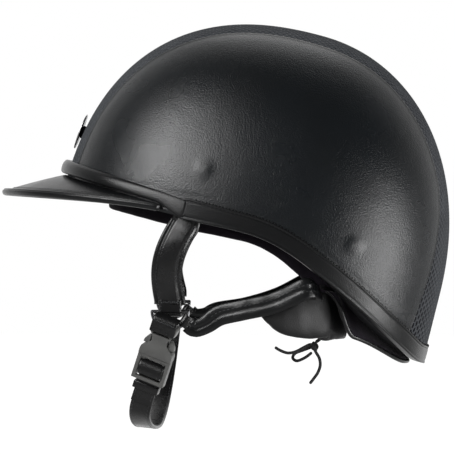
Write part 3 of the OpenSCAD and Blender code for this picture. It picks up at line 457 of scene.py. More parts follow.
SEAM_FRONT, SEAM_REAR = seam_azimuth(PANEL_FRONT), 180 - seam_azimuth(PANEL_REAR)
seam_points = [dome_at(SEAM_FRONT, rim_z(SEAM_FRONT) + 6)] + [seam_point(a) for a in range(12, 173, 2)]
seam_points += [dome_at(180 - seam_azimuth(seam_half(1, z)), z) for z in range(0, -25, -6)]
seam_points.append(dome_at(SEAM_REAR, rim_z(SEAM_REAR) + 6))
seam, seam_length = line_lookup(seam_points)
print("seam", round(seam_length), "mm long")

# %% [markdown]
# A cover is stretched wet over the shell, so it follows it closely: two rivets of the harness stand up under it
# as low round bumps, and the surface is never quite even. Its edge is folded under along the seam, which leaves
# a rolled edge that catches the light. All of this is a change of `d` in the placing function.
# %% The leather covers
def rim_slope(u):
    a, b = dome_at(u - 1, rim_z(u - 1)), dome_at(u + 1, rim_z(u + 1))
    return (b.z - a.z) / math.hypot(b.x - a.x, b.y - a.y)

def from_front(u): return min(abs(u), 360 - abs(u))
BAND_TALL = 11.3
def band_top(u):
    return rim_z(u) + BAND_TALL * math.sqrt(1 + rim_slope(u) ** 2) + 1.9 * smooth((84 - from_front(u)) / 16)

ANCHORS = [on_dome(Vector((-47.5, -99.5, 44))), on_dome(Vector((61, -96.4, 18.7)))]

def cover_lift(p, edge):
    """How far the leather stands from its even surface at a point, edge millimetres from the seam."""
    lift = 0.22 * noise.noise(p * 0.02) + 0.06 * noise.noise(p * 0.11)
    for anchor in ANCHORS:
        lift += 1.1 * smooth(1 - (p - anchor).length / 9) * (0.8 + 0.4 * noise.noise(p * 0.3))
    fold = 0.92 * max(0, 1.3 - edge)
    rolled = 0.25 * math.exp(-((edge - 1.5) / 1.6) ** 2) - (1.2 - math.sqrt(max(0, 1.2 ** 2 - fold ** 2)))
    return lift * smooth(edge / 8) + rolled

def cover_place(side):
    def place(a, b):
        u, high = mix(SEAM_FRONT, SEAM_REAR, a), seam(a)
        p = on_dome(dome_at(u, rim_z(u)).lerp(high, 1 - (1 - b) ** 1.6))
        above = p.z - band_top(atan2d(-p.y / HALF_WIDTH, -p.x / half_len_at(p.x)))
        p = on_dome(p, cover_lift(p, (p - high).length) - 0.45 * math.exp(-((above - 0.5) / 1.1) ** 2))
        return worn(p if side < 0 else flip(p))
    return place

for side, word in ((-1, "left"), (1, "right")):
    cover = make_piece(f"cover_skin_{word}", sheet_mesh(230, 84, cover_place(side)), [leather],
                       f"cover_{word}")
    thicken(cover, 1.0, side)

# %% [markdown]
# The strip over the crown is spacer mesh: a thick knit with long six-sided openings in staggered columns. A
# grid becomes such a net when every second cross edge is dissolved and its corners are drawn sideways in turn.
# Two insets make each cell: a flat rim of yarn, then a shallow pocket with a near-black floor, painted shade.
# %% The mesh over the crown
CELLS_ACROSS, ROWS_ALONG = 32, 208
CELL_APART, CORNER_PULL = 3.4, 0.17
YARN_WIDE, YARN_PROUD, CELL_WALL, CELL_DEEP = 0.34, 0.12, 0.12, 0.75
rim_start, rim_end = dome_at(SEAM_FRONT, rim_z(SEAM_FRONT)), dome_at(SEAM_REAR, rim_z(SEAM_REAR))
panel_line, panel_length = line_lookup([rim_start] + seam_points + [rim_end])
bm = bmesh.new()
bmesh.ops.create_grid(bm, x_segments=CELLS_ACROSS, y_segments=ROWS_ALONG, size=0.5)
net_uv = bm.loops.layers.uv.new("UVMap")
spot = {v: (round((v.co.x + 0.5) * CELLS_ACROSS), round((v.co.y + 0.5) * ROWS_ALONG)) for v in bm.verts}
for face in bm.faces:
    for loop in face.loops:
        i, j = spot[loop.vert]
        loop[net_uv].uv = (i * CELL_APART, j * panel_length / ROWS_ALONG)
rows = [panel_line(j / ROWS_ALONG) for j in range(ROWS_ALONG + 1)]
for v, (i, j) in spot.items():
    pull = CORNER_PULL * (-1) ** (i + j) if 0 < i < CELLS_ACROSS else 0
    share = mix(0.004, 0.996, (i + pull) / CELLS_ACROSS)
    edge = min(i, CELLS_ACROSS - i) * 3.2
    sink = 0.55 - 0.25 * smooth(edge / 5)
    v.co = worn(on_dome(rows[j].lerp(flip(rows[j]), share), -sink)) * MM
cross = [e for e in bm.edges if spot[e.verts[0]][1] == spot[e.verts[1]][1]
         and 0 < spot[e.verts[0]][1] < ROWS_ALONG
         and (min(spot[e.verts[0]][0], spot[e.verts[1]][0]) + spot[e.verts[0]][1]) % 2]
bmesh.ops.dissolve_edges(bm, edges=cross, use_verts=False)
bmesh.ops.recalc_face_normals(bm, faces=bm.faces)
if sum(f.normal.z for f in bm.faces) < 0:
    bmesh.ops.reverse_faces(bm, faces=bm.faces)
cells = list(bm.faces)
for thickness, depth in ((YARN_WIDE, YARN_PROUD), (CELL_WALL, -CELL_DEEP)):
    bmesh.ops.inset_individual(bm, faces=cells, thickness=thickness * MM, depth=depth * MM, use_even_offset=True)
# The pockets' floors take the near-black finish, painted shade in the openings.
for face in cells:
    face.material_index = 1
print("cells in the mesh:", len(cells))
make_piece("crown_mesh", bm, [yarn, deep], "mesh_panel")

# %% [markdown]
# The brow carries a badge, left bare: a plain metal plate, an upright oval, that stands off the curved mesh on a
# small dark block. It leans out at its lower edge, because the plate is flat and the dome isn't.
# %% The bare badge
low_end, high_end = Vector((-149.2, 0, 37.2)), Vector((-145.9, 0, 63))
up = (high_end - low_end).normalized()
outward = Vector((-up.z, 0, up.x))
badge_frame = Matrix((Vector((0, -1, 0)), up, outward)).transposed().to_4x4()
badge_mid = (low_end + high_end) / 2

def oval_plate(name, centre, width, radius, thickness, material):
    """An oval plate with a softened edge that lies in the badge's plane."""
    bm = bmesh.new()
    made = bmesh.ops.create_cone(bm, cap_ends=True, segments=64, radius1=radius, radius2=radius, depth=thickness)
    rim = [e for e in {e for v in made["verts"] for e in v.link_edges} if e.calc_face_angle(0) > 1]
    bmesh.ops.bevel(bm, geom=rim, offset=thickness * 0.3, offset_type="OFFSET", segments=2, profile=0.5,
                    affect="EDGES", clamp_overlap=True, material=-1)
    for v in bm.verts:
        v.co = worn(centre + badge_frame.to_3x3() @ Vector((v.co.x * width / (2 * radius), v.co.y, v.co.z))) * MM
    bmesh.ops.recalc_face_normals(bm, faces=bm.faces)
    make_piece(name, bm, [material], smooth_angle=40)

oval_plate("badge_disc", badge_mid, 14, 13, 0.7, bright_metal)
oval_plate("badge_block", badge_mid - outward * 1.9, 8, 4.6, 3.2, deep)

# %% [markdown]
# Bands and linings are tubes with a fixed cross-section: a cage of a few corners is carried along the rim and
# smoothed by a Subdivision Surface. The corners close together keep an edge crisp.
# %% A cage carried along a line
def band_mesh(count, start, end, section):
    """section(u) gives the (d, z) of every corner of the cage at u."""
    corners = len(section(start))
    def at(a, b):
        u = mix(start, end, b)
        d, z = section(u)[round(a * corners) % corners]
        return on_worn_dome(u, z, d)
    return tube_of(corners, count, at)

def soften(obj, levels=2):
    """Adds a live Subdivision Surface with the same level in the view and the render."""
    sub = obj.modifiers.new("smooth", "SUBSURF")
    sub.levels = sub.render_levels = levels
    return obj

def trim_piece(name, bm, node):
    """A piece of leather trim over its solid, smoothed."""
    soften(make_piece(name, bm, [band_leather], node))

# %% [markdown]
# The rim band wraps the lower edge: a flat strip outside with a turned top edge and a stitched groove, and a lip
# that runs in under the shell. It follows the rim from temple to temple round the back.
# %% The rim band
def rim_section(u):
    z, top = rim_z(u), band_top(u)
    return [(0.2, z - 1.62), (0.95, z - 1.55), (1.25, z - 1.1), (1.2, z - 0.3), (0.85, z + 0.35), (1.12, z + 1.1),
            (1.18, mix(z, top, 0.35)), (1.3, top - 3.6), (1.3, top - 2.9), (0.75, top - 2.2), (1.3, top - 1.6),
            (1.3, top - 0.9), (0.95, top - 0.1), (0.36, top - 0.2), (0.36, top - 3), (0.36, z), (0.1, z - 0.62),
            (-4.9, z - 0.64), (-5.15, z - 1.1), (-4.9, z - 1.62)]

trim_piece("rim_trim", band_mesh(110, 68, 292, rim_section), "rim_band")
top_line = [on_worn_dome(u, band_top(u) - 0.35, 1.05) for u in range(72, 289)]
groove = [on_worn_dome(u, band_top(u) - 2.0, 0.95) for u in range(70, 291)]
bm = bmesh.new()
add_stitches(bm, top_line, dome_out, pitch=2.3, length=2.3, width=0.85, zigzag=0.9, material=0)
add_stitches(bm, groove, dome_out, pitch=2.8, length=2.0, width=0.42, material=0)
make_piece("rim_stitches", bm, [dark_thread])

# %% [markdown]
# Over the peak the band is thicker: a padded leather strip with a flat face and a crisp, piped top edge. At each
# temple its end narrows, curls down over the end of the peak and lies on the start of the rim band.
# %% The front roll
ROLL_END = 70
def front_low(u): return 18.5 - 4 * (abs(u) / 67) ** 2
def roll_low(u): return front_low(u) - 5.6 * smooth((abs(u) - 61.5) / 8)
def roll_top(u): return front_low(u) + 9.8 * (1 - 0.25 * (abs(u) / 67) ** 2) - 0.6 * smooth((abs(u) - 62) / 8)
ROLL_FACE = [(0.62, 0.0), (0.06, -0.005), (0.06, 0.5), (0.06, 1.005), (0.5, 1.0), (0.66, 0.985), (0.74, 0.95),
             (0.8, 0.9), (0.88, 0.84), (0.97, 0.68), (1.0, 0.48), (0.98, 0.28), (0.92, 0.12), (0.8, 0.03)]

def roll_section(u):
    low, tall = roll_low(u), roll_top(u) - roll_low(u)
    proud = mix(2.1, 5.6, smooth((66 - abs(u)) / 22))
    return [(max(0.37, d * proud), low + k * tall) for d, k in ROLL_FACE]

trim_piece("front_roll", band_mesh(112, -ROLL_END, ROLL_END, roll_section), "front_band")

# %% [markdown]
# The peak is a stiff board in leather, slightly arched, whose root follows the roll and whose edge is half an
# ellipse. The edge is bound: a strip is rolled round it and sewn, and shows as a bead with a seam beside it.
# %% The peak and its bound edge
PEAK_SPREAD = 84
PEAK_BACK, PEAK_REACH, PEAK_HALF = -57, 134, 103
PEAK_ARCH, BOARD_HALF, BEAD_R, SEAM_IN = 0.5, 1.7, 2.7, 5.4

def peak_edge(b):
    x = PEAK_BACK - PEAK_REACH * cosd(b)
    return Vector((x, -PEAK_HALF * sind(b), 12.5 - 18.8 * ((PEAK_BACK - x) / PEAK_REACH) ** 1.3))

def peak_root(b):
    u = b / PEAK_SPREAD * 64
    return dome_at(u, front_low(u) - 2.1, 0.5)

def peak_out(b): return (peak_edge(b) - peak_root(b)).normalized()
def peak_roll(b): return peak_edge(b) - peak_out(b) * BEAD_R
def peak_rise(b, k, z): return Vector((0, 0, PEAK_ARCH * cosd(b) * sind(180 * k) + z))

PEAK_SHARES = [0, 0.02, 0.25, 0.5, 0.75, 0.93, 0.985, 1]

def peak_corner(a, b_share):
    b = mix(-PEAK_SPREAD, PEAK_SPREAD, b_share)
    i = round(a * 16) % 16
    side, j = (1, i) if i < 8 else (-1, 15 - i)
    k = PEAK_SHARES[j]
    thin = 0.55 if j in (0, 7) else 1
    edge = peak_roll(b) - peak_out(b) * 3.0
    return worn(peak_root(b).lerp(edge, k) + peak_rise(b, k, side * thin * BOARD_HALF))

trim_piece("peak_board", tube_of(16, 72, peak_corner), "peak")

ROLL = [(1.0, 180), (0.86, 200), (0.8, 212), (1.0, 228), (1, 260), (1, 300), (1, 340), (1, 8), (0.98, 24),
        (0.83, 31), (0.84, 37), (0.99, 44), (1, 70), (1, 104), (1.0, 132), (0.8, 148), (0.86, 160)]

def binding_corner(a, b_share):
    b = mix(-PEAK_SPREAD, PEAK_SPREAD, b_share)
    out = peak_out(b)
    out = Vector((out.x, out.y, 0)).normalized()
    r, angle = ROLL[round(a * len(ROLL)) % len(ROLL)]
    return worn(peak_roll(b) + out * (BEAD_R * r * cosd(angle)) + Vector((0, 0, BEAD_R * r * sind(angle))))

trim_piece("peak_bead", tube_of(len(ROLL), 96, binding_corner), "peak_binding")

def peak_line(side):
    """The seam beside the bead, above (1) or below (-1) the board."""
    for i in range(121):
        b = mix(-80, 80, i / 120)
        k = 1 - SEAM_IN / (peak_roll(b) - peak_root(b)).length
        yield worn(peak_root(b).lerp(peak_roll(b), k) + peak_rise(b, k, side * (BOARD_HALF + 0.02)))

bm = bmesh.new()
for side in (1, -1):
    up = worn((0, 0, side))
    add_stitches(bm, list(peak_line(side)), lambda p: up, length=2.2, material=0)
make_piece("peak_stitches", bm, [thread])

# %% [markdown]
# Inside, the helmet is the hard shell, a thick foam liner and the linings. The shell and the foam are one closed
# form each: a skin that climbs to the crown on one side of the wall and comes down on the other.
# %% Shell and foam liner
def add_layer(name, node, outer, inner, edge_rise, material):
    """A closed dome layer: crown to rim inside, then rim to crown outside."""
    rows = 60
    def at(a, b):
        j = round(b * (rows + 1))
        inside = j <= rows // 2
        share = 2 * j / rows if inside else 2 - 2 * (j - 1) / rows
        d = inner if inside else outer
        u = a * 360
        t = mix(90, tilt_of(u, rim_z(u) + edge_rise, d(u, 0)), share)
        return worn(dome_row(u, min(t, 89.999), d(u, t)))
    bm = sheet_mesh(120, rows + 1, at, joined=True)
    make_piece(name, bm, [material], node, smooth_angle=50)

add_layer("shell_wall", "outer_shell", lambda u, t: SHELL_OUT, lambda u, t: SHELL_IN, 0, shell_plastic)
add_layer("foam_wall", "foam_liner", lambda u, t: FOAM_OUT, foam_in, 3, foam)

# %% [markdown]
# The comfort band is a brushed, padded ring sewn at its lower edge; the nape lining hangs under it at the back.
# Both are soft, so their skin is pushed in and out a little by noise, most along the lower edge.
# %% Comfort linings
LINING_GAP, LINING_THICK = 0.9, 6
LINING_SHAPE = [(0, 0.1), (-0.15, 0.03), (-0.45, 0.0), (-0.8, 0.02), (-0.98, 0.08), (-0.86, 0.13), (-1.0, 0.2),
                (-1.08, 0.35), (-1.1, 0.5), (-1.08, 0.7), (-1.0, 0.86), (-0.8, 0.97), (-0.5, 1.0), (-0.15, 0.99),
                (0, 0.93), (0, 0.5)]

def lining_mesh(count, start, end, low, high, flare=lambda u, z: 0):
    """A padded band; low(u) and high(u) are its edges, and flare(u, z) turns it outwards."""
    corners = len(LINING_SHAPE)
    def at(a, b):
        u = mix(start, end, b)
        x, y = LINING_SHAPE[round(a * corners) % corners]
        level = mix(low(u), high(u), y)
        p = dome_at(u, level, foam_in(u, 0) - LINING_GAP + x * LINING_THICK + flare(u, level))
        fuzz = noise.noise(p * 0.09) * 0.55 + noise.noise(p * 0.3) * 0.2
        if x > -0.1:
            fuzz = -abs(fuzz)
        inward = Vector((p.x, p.y, 0)).normalized()
        return worn(p + inward * fuzz + Vector((0, 0, noise.noise(p * 0.4) * 0.5 if y < 0.05 else 0)))
    return tube_of(corners, count, at)

def headband_low(u): return max(rim_z(u) - 8, -14)
def nape_low(u):
    s = 180 - abs(180 - u)
    return -17 - 25 * smooth((s - 118) / 13) - 10.5 * smooth((s - 127) / 38)

def nape_flare(u, z):
    """At the nape the lining turns outwards under the rim and ends as a shelf below the shell."""
    s = 180 - abs(180 - u)
    reach = mix(-15, -7, smooth((s - 135) / 40)) - foam_in(u, 0) - LINING_GAP
    return max(0, reach) * smooth((nape_low(u) + 11 - z) / 9) * smooth((s - 114) / 10)

for name, node, bm in (
        ("headband_pad", "headband", lining_mesh(150, 0, 360, headband_low, lambda u: headband_low(u) + 34)),
        ("nape_cloth", "nape_lining", lining_mesh(90, 113, 247, nape_low, lambda u: -14.9, nape_flare))):
    soften(make_piece(name, bm, [lining], node), 1)

# %% [markdown]
# The crown pad is a round cushion inside the top of the foam, thin, crowned and gathered a little at its rim.
# %% Crown pad
PAD_RIM, PAD_DEEP, GATHERS = 58, 6.9, 24

def crown_place(a, b):
    """The shares up to 0.45 lie against the foam, those from 0.55 face the head, the rest turns the rim."""
    u = a * 360
    if b < 0.45:
        t, d = mix(90, PAD_RIM, b / 0.45), LINING_GAP
    elif b > 0.55:
        t = mix(PAD_RIM, 90, (b - 0.55) / 0.45)
        d = PAD_DEEP + 0.8 * smooth((b - 0.55) / 0.2) - 0.8 * smooth((b - 0.55) / 0.05)
    else:
        k = (b - 0.45) / 0.1
        t, d = PAD_RIM - 1.6 * sind(180 * k), mix(LINING_GAP, PAD_DEEP, k)
    gather = 0.4 * sind(u * GATHERS) * math.exp(-((t - PAD_RIM) / 5) ** 2) if d > 3 else 0
    t = min(t, 89.999)
    return worn(dome_row(u, t, foam_in(u, t) - d - gather))

bm = sheet_mesh(120, 50, crown_place, joined=True)
make_piece("crown_cushion", bm, [lining], "crown_pad")

# %% [markdown]
# Inside the wall, the harness is anchored by leather tabs and countersunk rivets. They hardly show, but they are
# there when the shell is seen from below or taken apart.
# %% Anchors, tabs and eyelets
for name, node, finish, bevel, slot in (("front_anchor_tabs", "front_tabs", strap_leather, 0.3, "webbing"),
                                        ("rear_anchor_tabs", "rear_tabs", strap_leather, 0.3, "webbing"),
                                        ("rivets", "anchor_rivets", steel, 0.15, "metal"),
                                        ("lacing_tabs", "lace_tabs", strap_leather, 0.4, "webbing"),
                                        ("lacing_eyelets", "eyelets", steel, 0.12, "metal")):
    dress(name, node, finish, bevel)

# %% [markdown]
# The harness is all straps. A strap is known by its stations: a place, the way its width lies, its width and its
# thickness. A smooth line is led through them, and at each step a cross-section is drawn across that line.
# %% A strap through its stations
def toward(place, x, y, z):
    """A direction given inside a frame, as the helmet has it."""
    return (place.to_3x3() @ Vector((x, y, z))).normalized()

def turned(angle, axis): return Matrix.Rotation(math.radians(angle), 4, axis)

def curve_through(points, k):
    """A smooth curve through points, asked for at a share counted in points."""
    n = len(points) - 1
    i = min(int(k * n), n - 1)
    f = k * n - i
    p0, p1, p2, p3 = (points[max(0, min(n, j))] for j in (i - 1, i, i + 1, i + 2))
    return 0.5 * (2 * p1 + (p2 - p0) * f + (2 * p0 - 5 * p1 + 4 * p2 - p3) * f ** 2
                  + (3 * p1 - p0 - 3 * p2 + p3) * f ** 3)

def strap_frames(stations, count):
    """Even steps along the strap: place, width direction, thickness direction, width and thickness."""
    dense = 12 * (len(stations) - 1)
    values = [Vector((*s[0], *Vector(s[1]).normalized(), s[2], s[3])) for s in stations]
    line = [curve_through(values, i / dense) for i in range(dense + 1)]
    total = running_total([Vector(v[:3]) for v in line])
    frames = []
    for j in range(count + 1):
        s = total[-1] * j / count
        i = next((m for m in range(1, dense + 1) if total[m] >= s - 1e-9), dense)
        k = (s - total[i - 1]) / max(1e-9, total[i] - total[i - 1])
        v = line[i - 1].lerp(line[i], k)
        way = (Vector(line[min(i + 1, dense)][:3]) - Vector(line[max(i - 2, 0)][:3])).normalized()
        deep = way.cross(Vector(v[3:6])).normalized()
        frames.append((Vector(v[:3]), deep.cross(way).normalized(), deep, v[6], v[7]))
    return frames, total[-1]

# %% [markdown]
# Three cross-sections do for all straps: padded ones have a piped edge, a stitched groove and a crowned middle;
# folded ones are flat with soft edges; doubled ones are two rolls with a seam between them.
# %% Cross-sections and the strap maker
def half_thickness(kind, x, w, t):
    """How far the skin stands from the strap's middle plane, x from its middle line; width w, thickness t."""
    e = w / 2 - abs(x)
    if kind == "padded":
        roll = math.sqrt(max(0, 1.5 ** 2 - (e - 1.5) ** 2)) if e < 3 else 0
        crown = t / 2 * (0.8 + 0.2 * (1 - (2 * x / w) ** 2))
        return max(roll, 0.5, crown * smooth((e - 2.7) / 1.8)) if e > 0.3 else min(0.5, roll)
    if kind == "doubled":
        return t / 2 * math.sqrt(max(0, 1 - (2 * x / w) ** 4)) * (0.45 + 0.55 * smooth(abs(x) / 1.3))
    edge = min(1.0, t * 0.5)
    return t / 2 * math.sqrt(max(0, 1 - max(0, 1 - e / edge) ** 2))

def strap_mesh(stations, kind, count, half_columns=16, ripple=None):
    """A strap's skin and its frames. ripple(x, y, share) may push the surface out."""
    frames, length = strap_frames(stations, count)
    n = 2 * half_columns
    def at(a, b):
        p, wide, deep, w, t = frames[round(b * count)]
        i = round(a * n) % n
        x = -cosd(180 * (i if i <= half_columns else n - i) / half_columns) * w / 2
        y = half_thickness(kind, x, w, t) * (1 if i <= half_columns else -1)
        if ripple:
            y += ripple(x, y, b)
        return p + wide * x + deep * y
    return tube_of(n, count, at), frames, length

def strap_seams(bm, frames, kind, offsets, first=0.0, last=1.0, **stitch):
    """Rows of stitches on both faces, offsets millimetres from the strap's middle."""
    part = frames[int(first * (len(frames) - 1)):int(last * (len(frames) - 1)) + 1]
    for offset in offsets:
        for face in (1, -1):
            line = []
            for p, wide, deep, w, t in part:
                x = offset if abs(offset) < w / 2 else math.copysign(w / 2 - 1, offset)
                line.append(p + wide * x + deep * (face * (half_thickness(kind, x, w, t) + 0.02)))
            def out(q):
                near = min(part, key=lambda f: (f[0] - q).length)
                return near[2] * face
            add_stitches(bm, line, out, **stitch)

def sewn_strap(name, node, stations, shape, seams, finish=strap_leather, body="helmet", **stitch):
    """A strap with its seams. shape: kind, steps, columns, ripple; seams: offsets and the span they run over."""
    bm, frames, length = strap_mesh(stations, *shape)
    strap_seams(bm, frames, shape[0], *seams, **stitch)
    print(name, round(length), "mm")
    return make_piece(name, bm, [finish, thread], node, body)

# %% [markdown]
# The front straps come out from under the rim beside the temples and hang to the rings. They are the padded
# ones: the skin over the foam is shiny leather, piped at both edges.
# %% Front straps
RING, RIGHT_RING = Vector((-59, -83, -41)), Vector((-72, -83, -41))
RING_TURN = atan2d(13, 166)
WIRE_R, FOLD_GAP, HALF_LEATHER = 1.25, 0.3, 0.9
FOLD_R = WIRE_R + FOLD_GAP + HALF_LEATHER
FRONT_WIDE, FRONT_THICK = 21, 5

def hang_point(u, below, d): return on_worn_dome(u, rim_z(u) - below, d)

def front_stations(exit_u, ring, bow):
    foot_t = 2 * FOLD_R + 2 * HALF_LEATHER
    along = hang_point(exit_u + 3, 0, 0) - hang_point(exit_u - 3, 0, 0)
    top = hang_point(exit_u, 3.6, SHELL_IN - 3.6)
    foot = ring + Vector((-0.4, 0, 4.6))
    out = [(hang_point(exit_u, -2.4, SHELL_IN - 1.7), along, 0.8 * FRONT_WIDE, 0.35 * FRONT_THICK)]
    for i in range(9):
        k = i / 8
        place = top.lerp(foot + Vector((0, 0, 3)), k) + Vector(bow) * sind(180 * k)
        out.append((place, along.normalized().lerp(Vector((1, 0, 0)), k), FRONT_WIDE,
                    mix(FRONT_THICK, foot_t, smooth(k * 3 - 2))))
    return out + [(foot, (1, 0, 0), FRONT_WIDE, foot_t)]

def flipped(stations): return [(flip(s[0]), flip(s[1]), *s[2:]) for s in stations]

def front_ripple(x, y, b): return 0.18 * noise.noise(Vector((x * 0.12, b * 9, y)))

for word, stations in (("left", front_stations(69, RING, (-6, -4, 0))),
                       ("right", flipped(front_stations(64, RIGHT_RING, (-9, -3, 0))))):
    sewn_strap(f"front_strap_skin_{word}", f"front_strap_{word}", stations, ("padded", 60, 26, front_ripple),
               ((-7.0, 7.0, 9.2), 0.08, 0.97), pitch=2.6, length=1.9, width=0.5)

# %% [markdown]
# A folded strip of the same leather holds each ring, closed by a zigzag seam, and the rings are bent wire. The
# loops of the rear straps fill the ring's lower bar, so they are drawn a little wider than their solids.
# %% Ring folds and rings
def ring_frame(word):
    if word == "left":
        return Matrix.Translation(RING) @ turned(RING_TURN, "Z")
    return Matrix.Scale(-1, 4, (0, 1, 0)) @ Matrix.Translation(RIGHT_RING) @ turned(-RING_TURN, "Z")

ZIGZAG = {"pitch": 1.5, "length": 1.9, "width": 0.5, "zigzag": 0.9}
bm = bmesh.new()
for word in ("left", "right"):
    place = ring_frame(word)
    turn = [(FOLD_R * cosd(a), FOLD_R * sind(a)) for a in range(180, 361, 15)]
    stations = [(place @ Vector((0, y, z)), toward(place, 1, 0, 0), 15, 2 * HALF_LEATHER)
                for y, z in [(-FOLD_R, 8)] + turn + [(FOLD_R, 8)]]
    part, frames, _ = strap_mesh(stations, "folded", 44, 12)
    strap_seams(part, frames, "folded", (6.2, -6.2), 0.1, 0.9, pitch=2.4, length=1.7, width=0.35)
    for y in (-1, 1):
        row = [place @ Vector((x, y * (FOLD_R + HALF_LEATHER + 0.02), 6.3)) for x in range(-6, 7)]
        add_stitches(part, row, lambda q: toward(place, 0, y, 0), **ZIGZAG)
    held = bpy.data.meshes.new("fold_part")
    part.to_mesh(held)
    part.free()
    bm.from_mesh(held)
make_piece("ring_folds", bm, [strap_leather, thread], "strap_folds")

for word in ("left", "right"):
    dress(f"ring_wire_{word}", f"ring_{word}", steel, 0.05)

REAR_TILT = 34 - 90
LOOP_WIDER = 1.12
loop_frames = [ring_frame(word) @ turned(REAR_TILT, "Y") for word in ("left", "right")]
for v in dress("ring_loops", "rear_loops", strap_leather, 0.3).data.vertices:
    place = loop_frames[v.co.y >= 0]
    wide = toward(place, 1, 0, 0)
    v.co += wide * (v.co - place.translation * MM).dot(wide) * (LOOP_WIDER - 1)

# %% [markdown]
# The rear straps run from the rings to behind the ears. Each is two layers turned edge to edge and sewn along
# the middle, narrow at the ring, and it twists a little on the way.
# %% Rear straps
REAR_WIDE, REAR_THICK = 14, 2.6
RING_DROP = 17.6

def rear_way(v): return turn_y(v, REAR_TILT)

def rear_stations(ring, side, sag):
    low = Vector((0, 0, -sag))
    start = ring + turn_z(rear_way((0, 0, -RING_DROP)), side * RING_TURN)
    under = hang_point(108, 0.9 * REAR_WIDE, SHELL_IN - 3.4)
    return [(start + rear_way((0, 0, 2.6)), rear_way((1, 0, 0)), 12.4, 5),
            (start + rear_way((0, 0, -2.6)), rear_way((1, 0, 0)), 12, 3.6),
            (start + Vector((10.2, -0.3, 1.6)) + low / 2, (0, 0, 1), 12.5, 3),
            (start + Vector((19, -1, 7.5)) + low, (0, 0, 1), REAR_WIDE, REAR_THICK),
            (start.lerp(under, 0.45) + Vector((0, 1, -0.5)) + low, (0, 0.1, 1), REAR_WIDE, REAR_THICK),
            (start.lerp(under, 0.72) + Vector((0, 1.5, -2.5)) + low / 2, (0, 0.1, 1), REAR_WIDE, REAR_THICK),
            (under, (-0.2, 0.1, 1), REAR_WIDE, REAR_THICK),
            (hang_point(114, 8, SHELL_IN - 13), (-0.5, 0, 1), 12, 2)]

def rear_ripple(x, y, b): return 0.25 * noise.noise(Vector((x * 0.2, b * 14, y * 0.2)))

for word, stations in (("left", rear_stations(RING, 1, 0)),
                       ("right", flipped(rear_stations(RIGHT_RING, -1, 5)))):
    sewn_strap(f"rear_strap_skin_{word}", f"rear_strap_{word}", stations, ("doubled", 72, 16, rear_ripple),
               ((2.2, -2.2), 0.2, 0.95), band_leather)

# %% [markdown]
# The nape pads are small leather cushions, gathered where they are sewn to the lining and drawn narrow at both
# ends. They start slimmer than they should be, and a short cloth simulation with air pressure fills them; the
# filled shape is then kept, no point more than a few millimetres from where it began.
# %% Filling a cushion with air
def fill_with_air(obj, held_shares, pressure, steps, cap):
    """Runs cloth with pressure on the piece and keeps the result, each point at most cap millimetres away."""
    held = obj.vertex_groups.new(name="held")
    for index, share in enumerate(held_shares):
        held.add([index], share, "REPLACE")
    cloth = obj.modifiers.new("cloth", "CLOTH")
    for key, value in (("quality", 6), ("mass", 0.002), ("tension_stiffness", 12), ("compression_stiffness", 12),
                       ("bending_stiffness", 0.4), ("use_pressure", True), ("uniform_pressure_force", pressure),
                       ("vertex_group_mass", "held")):
        setattr(cloth.settings, key, value)
    cloth.settings.effector_weights.gravity = 0
    cloth.point_cache.frame_start, cloth.point_cache.frame_end = 1, steps
    scene = bpy.context.scene
    for i in range(1, steps + 1):
        scene.frame_set(i)
    filled = obj.evaluated_get(bpy.context.evaluated_depsgraph_get()).to_mesh()
    ends = [v.co.copy() for v in filled.vertices]
    obj.modifiers.remove(cloth)
    obj.vertex_groups.remove(held)
    scene.frame_set(1)
    far = 0
    for v, end in zip(obj.data.vertices, ends):
        step = end - v.co
        if step.length > cap * MM:
            step = step.normalized() * cap * MM
        far = max(far, step.length)
        v.co += step
    print(f"{obj.name}: filled, moved at most {far / MM:.1f} mm")

PAD_STATIONS = [((2, -84.5, -41.5), 0.1, 0.3), ((9, -83.6, -43.5), 0.32, 0.7), ((19, -80.5, -45.5), 0.56, 0.95),
                ((30, -75.5, -43), 0.86, 1.05), ((42.5, -67.5, -38), 1.12, 1.05), ((53.5, -54, -38), 1.12, 1),
                ((55.5, -36.5, -43), 0.94, 1), ((49, -23, -49), 0.72, 0.9), ((43.9, -15.9, -53), 0.56, 0.6),
                ((40.5, -12, -53), 0.5, 0.45)]

PAD_TALL, PAD_THICK, SLIM = 42, 11, 0.82
PUCKERS = 20

def pad_mesh(count, columns):
    stations = [(p, (0, 0, 1), h * PAD_TALL, t * PAD_THICK * SLIM) for p, h, t in PAD_STATIONS]
    frames, _ = strap_frames(stations, count)
    def at(a, b):
        p, wide, deep, w, t = frames[round(b * count)]
        angle = 360 * (round(a * columns) % columns) / columns
        y = math.copysign(abs(sind(angle)) ** 0.75, sind(angle)) * t / 2
        x = cosd(angle) * w / 2
        top = smooth((x / w + 0.5 - 0.6) / 0.4)
        gather = 1.1 * top * sind(b * 360 * PUCKERS) * smooth((b - 0.28) / 0.06) * smooth((0.5 - b) / 0.06)
        crease = noise.noise(Vector((b * 16, x * 0.06, 3.0))) * 0.5
        return p + wide * x + deep * (y + (gather + crease) * (1 if y > 0 else -1) * min(1, abs(y) / 2))
    return tube_of(columns, count, at)

for word in ("left", "right"):
    bm = pad_mesh(90, 44)
    if word == "right":
        bmesh.ops.scale(bm, verts=bm.verts, vec=(1, -1, 1))
    pad = make_piece(f"nape_cushion_{word}", bm, [pad_leather], f"nape_pad_{word}")
    sewn = [1.0 if v.co.x < 0.006 or abs(v.co.y) < 0.0165 else 0.0 for v in pad.data.vertices]
    fill_with_air(pad, sewn, pressure=20.0, steps=14, cap=2.0)
    soften(pad, 1)

# %% [markdown]
# A round lace closes the two pads: through four eyelets, then into a knot with one bow and two ends. The free
# stretches hang in the air from the knot, each a tube along its own curve. Lace is limp and springs into soft
# curves only because it has been tied for a long time.
# %% The lace
LACE, PIPING = 2.2, 3.2

